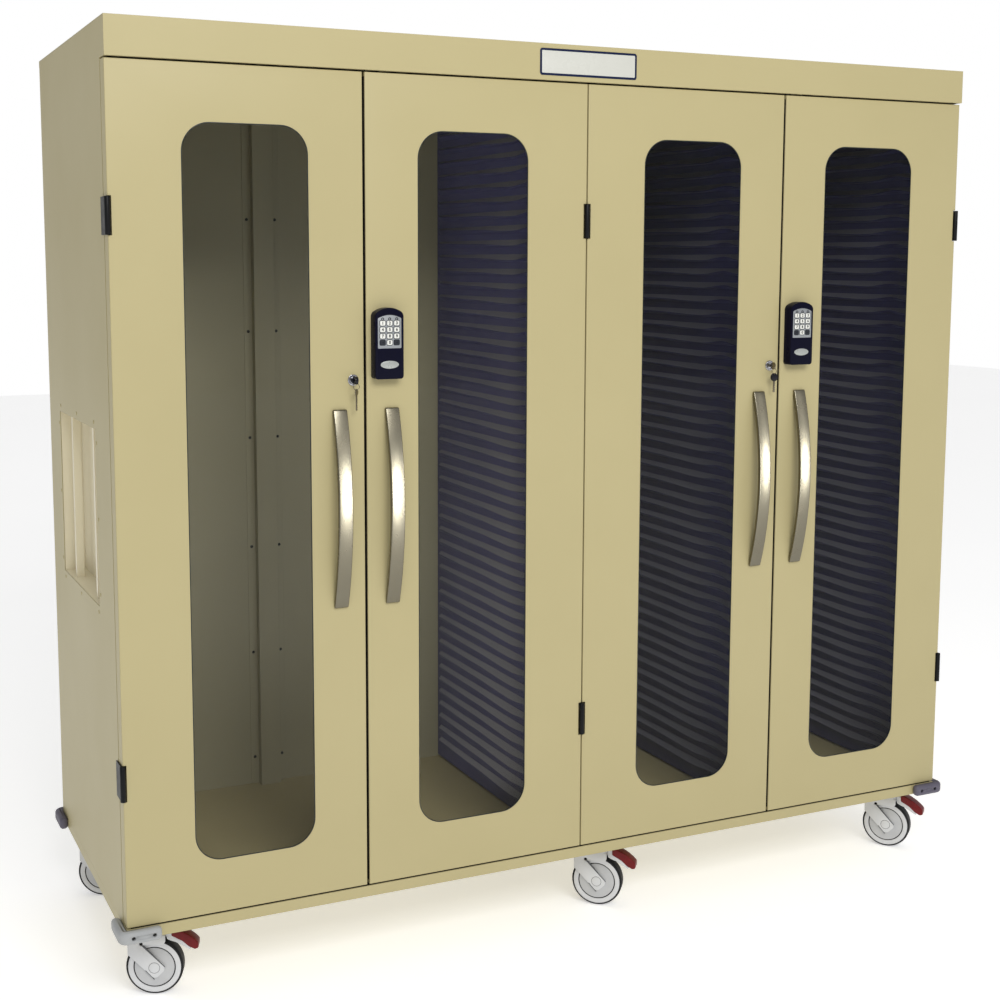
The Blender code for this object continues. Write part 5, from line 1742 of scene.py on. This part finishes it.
@dataclass
class Caster:
    """A swivel caster: a moulded fork, a grey wheel in a dark tread, and a brake pedal.

    Places are given in the caster's own frame, with its stem at x = y = 0 and the wheel
    trailing towards +X.
    """

    end: str
    side: str
    stem: Vector
    turn: float
    wheel_radius: float = 62.5 * MM
    wheel_width: float = 32 * MM
    trail: float = 21 * MM
    tread_edge: float = 5 * MM
    rim: float = 57.4 * MM
    rim_sheet: float = 2.6 * MM
    disc_sheet: float = 2.0 * MM
    groove_sheet: float = 0.8 * MM
    # How far inside the wheel's side the middles of the rim and of the groove lie.
    seat_depth: float = 1.4 * MM
    groove_depth: float = 2.1 * MM
    groove_lap: float = 0.4 * MM
    recess: float = 2.5 * MM
    rim_gap: float = 0.2 * MM
    rim_soft: float = 0.35 * MM
    # Its inner and its outer radius.
    groove: tuple[float, float] = (43.4 * MM, 46.0 * MM)
    leg: float = 4 * MM
    leg_gap: float = 1 * MM
    # How far the leaning leg reaches past the axle, and up from it.
    leg_ends: tuple[float, float] = (-20 * MM, 125 * MM)
    leg_drop: float = 8 * MM
    leg_width: float = 36 * MM
    leg_lean: float = radians(-45)
    crown: float = 130 * MM
    skirt: float = 115 * MM
    skirt_lap: float = 6 * MM
    top: float = 158 * MM
    left: float = 36 * MM
    right: float = 46 * MM
    # The notch in the skirt: its x, its rise above the skirt's edge and its radius.
    hook: tuple[float, float, float] = (-6.5 * MM, 2 * MM, 4.2 * MM)
    leg_corner: float = 11 * MM
    fork_corner: float = 9 * MM
    fork_soft: float = 1.1 * MM
    hub: float = 11.5 * MM
    hub_rise: float = 0.6 * MM
    hub_soft: float = 0.5 * MM
    # Its gap from the hub, how far it reaches and its depth.
    hub_seam: tuple[float, float, float] = (0.05 * MM, 0.9 * MM, 0.25 * MM)
    # Each painted shadow line's start and end in millimetres, and its width at both.
    painted_shadow_lines: tuple[tuple[tuple[float, float], tuple[float, float], float, float], ...] = (
        ((-4.0, 114.0), (44.0, 64.0), 3.2 * MM, 1.0 * MM),
        ((2.0, 57.0), (21.0, 36.0), 1.5 * MM, 1.0 * MM))
    shadow_root: float = 1.6 * MM
    shadow_rise: float = 0.15 * MM
    bearing: float = 29 * MM
    bearing_lap: float = 2 * MM
    stem_top: float = 181.7 * MM
    pedal_half: float = 15 * MM
    pedal_soft: float = 2.4 * MM
    arm_inset: float = 1.5 * MM
    arm_soft: float = 1.6 * MM
    # The pedal's stations in millimetres: x, underside and top.
    tread_outline: tuple[tuple[float, float, float], ...] = (
        (58.5, 131.5, 148.0), (68.0, 127.0, 147.6), (82.0, 119.5, 142.0),
        (96.0, 107.0, 134.0), (109.0, 100.5, 124.0), (117.0, 103.5, 115.5))
    arm_outline: tuple[tuple[float, float, float], ...] = (
        (46.5, 133.6, 146.0), (49.2, 124.0, 145.5), (57.0, 120.5, 144.0), (68.0, 116.8, 129.0),
        (84.0, 107.8, 120.0), (99.0, 98.8, 107.0))

    @property
    def name(self) -> str:
        """The caster's name, such as front_left."""
        return f"{self.end}_{self.side}"

    def build(self) -> None:
        """Model the wheel, the fork and the pedal, and set them under the base."""
        self.build_wheel()
        self.build_fork()
        if self.end == "front":
            self.build_pedal()

    def put(self, piece: Obj, name: str, body: str, slot: str, finish: Finish,
            *replaced: str) -> None:
        """Turn a piece with its caster, move it to its stem and hang it on its body.

        Args:
            piece: the piece, in the caster's own frame.
            name: the name it gets.
            body: the CAD body that it moves with.
            slot: the record's material slot that it belongs to.
            finish: what it is made of.
            *replaced: the CAD nodes that it stands for.
        """
        placed = twin(piece, self.stem, self.turn)
        bpy.data.objects.remove(piece, do_unlink=True)
        finish_piece(placed, name, body, slot, finish, *replaced)

    def ring(self, centre: Vector, inner: float, outer: float, depth: float) -> Obj:
        """Model a flat ring about the axle."""
        tool = start_rod(centre, inner, 4 * depth, Axis.Y, 64)
        return carve(start_rod(centre, outer, depth, Axis.Y, 64), tool)

    def build_wheel(self) -> None:
        """Model the tread, and on each side a grey disc with its groove."""
        body, r = f"{self.name}_wheel", self.wheel_radius
        centre, half = Vector((self.trail, 0, r)), self.wheel_width / 2
        tread = start_rod(centre, r, self.wheel_width, Axis.Y, 72)
        round_edges(tread, lambda mid, way: abs(abs(mid.y) - half) < EPS, self.tread_edge, 4)
        rims, discs, grooves = [], [], []
        (inner, outer), lap = self.groove, self.groove_lap
        for y in (-1, 1):
            face = centre + Vector((0, y * half, 0))
            carve(tread, start_rod(face, self.rim + self.rim_gap, 2 * self.recess, Axis.Y, 72))
            seat = face - Vector((0, y * self.seat_depth, 0))
            rim = carve(start_rod(seat, self.rim, self.rim_sheet, Axis.Y, 72),
                        start_rod(seat, outer, 4 * self.rim_sheet, Axis.Y, 72))
            rims.append(soften(rim, self.rim_soft))
            disc = start_rod(seat, inner, self.disc_sheet, Axis.Y, 72)
            discs.append(soften(disc, self.rim_soft))
            grooves.append(self.ring(face - Vector((0, y * self.groove_depth, 0)),
                                     inner - lap, outer + lap, self.groove_sheet))
        self.put(smooth(tread, 40), f"{self.name}_wheel_tread", body, "dark_tyre_rubber",
                 TYRE_RUBBER, f"{self.name}_caster_wheel")
        self.put(join(*rims), f"{self.name}_wheel_rims", body, "light_caster_plastic",
                 CASTER_GREY)
        self.put(join(*discs), f"{self.name}_wheel_discs", body, "light_caster_plastic",
                 CASTER_DISC)
        self.put(smooth(join(*grooves), 30), f"{self.name}_wheel_grooves", body,
                 "dark_tyre_rubber", TYRE_RUBBER)

    def fork_leg(self, near: float, far: float) -> Obj:
        """Model one leg: a skirt under the crown and a slanting band down to the axle.

        Args:
            near: one face of the leg.
            far: its other face.

        Returns:
            The leg.
        """
        y0, y1 = min(near, far), max(near, far)
        half, (foot, head) = self.leg_width / 2, self.leg_ends
        band = start_box((-half, y0, foot), (half, y1, head))
        round_edges(band, lambda mid, way: abs(way.y) > ALONG and mid.z < 0,
                    self.leg_corner, 6)
        band.matrix_world = (Matrix.Translation((self.trail, 0, self.wheel_radius))
                             @ Matrix.Rotation(self.leg_lean, 4, "Y"))
        settle(band)
        skirt = start_box((-self.left, y0, self.skirt),
                          (self.right, y1, self.crown + self.skirt_lap))
        round_edges(skirt, lambda mid, way: abs(way.y) > ALONG and mid.z < self.skirt + EPS
                    and mid.x > 0, self.fork_corner, 5)
        fuse(band, skirt)
        for x, side in ((-self.left, -1), (self.right, 1)):
            self.slice(band, (x, 0, 0), (side, 0, 0))
        self.slice(band, (0, 0, self.top - self.leg_drop), (0, 0, 1))
        hook_x, hook_rise, radius = self.hook
        hook = Vector((hook_x, (y0 + y1) / 2, self.skirt + hook_rise))
        return carve(band, start_rod(hook, radius, 3 * self.leg, Axis.Y, 20))

    @staticmethod
    def slice(piece: Obj, place: Place, way: Place) -> None:
        """Cut off what lies beyond a plane, and close the cut.

        Args:
            piece: the piece.
            place: a point on the plane.
            way: the side that is cut off.
        """
        with editing(piece, Kind.FACE):
            bpy.ops.mesh.select_all(action="SELECT")
            bpy.ops.mesh.bisect(plane_co=place, plane_no=way, use_fill=True, clear_outer=True)

    def build_fork(self) -> None:
        """Model the crown with its bearing, the two legs and the hub caps."""
        inner = self.wheel_width / 2 + self.leg_gap
        outer = inner + self.leg
        crown = start_box((-self.left, -outer, self.crown), (self.right, outer, self.top))
        round_edges(crown, lambda mid, way: abs(way.z) > ALONG, self.fork_corner, 5)
        low, high = self.top - self.bearing_lap, self.stem_top
        bearing = start_rod((0, 0, (low + high) / 2), self.bearing, high - low, Axis.Z, 48)
        fuse(crown, self.fork_leg(-outer, -inner), self.fork_leg(inner, outer), bearing)
        soften(crown, self.fork_soft, 2, 35)
        self.put(crown, f"{self.name}_fork_moulding", f"{self.name}_swivel",
                 "light_caster_plastic", CASTER_GREY, f"{self.name}_caster_fork")
        caps, dark_lines = [], self.shadow_lines(outer)
        gap, reach, depth = self.hub_seam
        for y in (-1, 1):
            face = Vector((self.trail, y * outer, self.wheel_radius))
            cap = start_rod(face, self.hub, 2 * self.hub_rise, Axis.Y, 36)
            caps.append(soften(cap, self.hub_soft, 2))
            dark_lines.append(self.ring(face, self.hub + gap, self.hub + reach, depth))
        self.put(join(*caps), f"{self.name}_hub_caps", f"{self.name}_swivel",
                 "light_caster_plastic", CASTER_GREY)
        self.put(join(*dark_lines), f"{self.name}_hub_seams", f"{self.name}_swivel",
                 "light_caster_plastic", CASTER_LINE_AND_SHADOW_GREY)

    def shadow_lines(self, outer: float) -> list[Obj]:
        """Model the painted shadow lines beside each leg: a tapering one and a short one below
        it.

        Args:
            outer: the legs' outer face.

        Returns:
            The painted shadow lines.
        """
        dark_lines, root, rise = [], self.shadow_root, self.shadow_rise
        for (x0, z0), (x1, z1), wide, narrow in self.painted_shadow_lines:
            way = Vector((x1 - x0, 0, z1 - z0))
            length, lean = way.length * MM, atan2(z0 - z1, x1 - x0)
            for y in (-1, 1):
                painted_line = start_box((0, outer - root, -wide / 2), (length, outer + rise, wide / 2))
                with editing(painted_line, Kind.VERT):
                    pick(painted_line, Kind.VERT, lambda mid, _: mid.x > length / 2)
                    bpy.ops.transform.resize(value=(1, 1, narrow / wide))
                painted_line.matrix_world = (Matrix.Translation((x0 * MM, 0, z0 * MM))
                                     @ Matrix.Rotation(lean, 4, "Y"))
                settle(painted_line)
                if y < 0:
                    with editing(painted_line, Kind.VERT):
                        bpy.ops.mesh.select_all(action="SELECT")
                        bpy.ops.transform.translate(value=(0, root - rise - 2 * outer, 0))
                dark_lines.append(painted_line)
        return dark_lines

    @staticmethod
    def outlined(outline: Sequence[tuple[float, float, float]], half: float) -> Obj:
        """Model a block from an outline in millimetres."""
        return stationed_block([tuple(value * MM for value in row) for row in outline], half)

    def build_pedal(self) -> None:
        """Model the brake pedal: a thick red tread with a hooked toe on a grey arm."""
        body, half = f"{self.name}_pedal", self.pedal_half
        tread = self.outlined(self.tread_outline, half)
        soften(tread, self.pedal_soft, 4, 28)
        self.put(tread, f"{self.name}_pedal_tread", body, "red_pedal_plastic", PEDAL_RED,
                 f"{self.name}_brake_pedal")
        arm = self.outlined(self.arm_outline, half - self.arm_inset)
        soften(arm, self.arm_soft, 3, 28)
        self.put(arm, f"{self.name}_pedal_arm", body, "light_caster_plastic", CASTER_GREY)


# The whole cabinet

@dataclass
class CasterSet:
    """The six casters, three a row, each turned as it stands in the photograph."""

    # The left, the middle and the right caster of a row.
    turns: tuple[float, float, float] = (radians(-22), radians(-40), radians(-51))
    left_inset: float = 66 * MM
    middle_shift: float = 100 * MM
    right_inset: float = 67 * MM
    front_inset: float = 135 * MM
    rear_inset: float = 68 * MM

    def build(self) -> None:
        """Build each caster at the place of its CAD caster's stem."""
        low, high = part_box("base_pan")
        row = (("left", low.x + self.left_inset),
               ("middle", (low.x + high.x) / 2 + self.middle_shift),
               ("right", high.x - self.right_inset))
        for end, y in (("front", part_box("top_cover")[0].y + self.front_inset),
                       ("rear", high.y - self.rear_inset)):
            for (side, x), turn in zip(row, self.turns):
                Caster(end, side, Vector((x, y, 0)), turn).build()


def main() -> None:
    """Build the studio and the cabinet, sub-assembly by sub-assembly."""
    logging.basicConfig(level=logging.INFO, format="%(message)s")
    studio = Studio()
    studio.build()
    CabinetCase().build()
    HingeSet().build()
    handles = []
    for door in range(1, 5):
        GlazedDoor(door).build()
        handles.append(BowHandle(door).build())
        if door % 2:
            KeyLock(door).build()
        else:
            KeypadLock(door).build()
            dress_node(f"door_{door}_lock_bar", ZINC)
    studio.light_handles(handles)
    DoorSealsAndGapShade().build()
    for end in ("front", "rear"):
        for side in ("left", "right"):
            CornerBumper(end, side).build()
    studio.fill.hang(TrayLiner("partition_left_liner", -1).build())
    for node, side in (("partition_right_liner", 1), ("divider_left_liner", -1),
                       ("divider_right_liner", 1), ("right_wall_liner", -1)):
        TrayLiner(node, side).build()
    CasterSet().build()


if __name__ == "__main__":
    main()
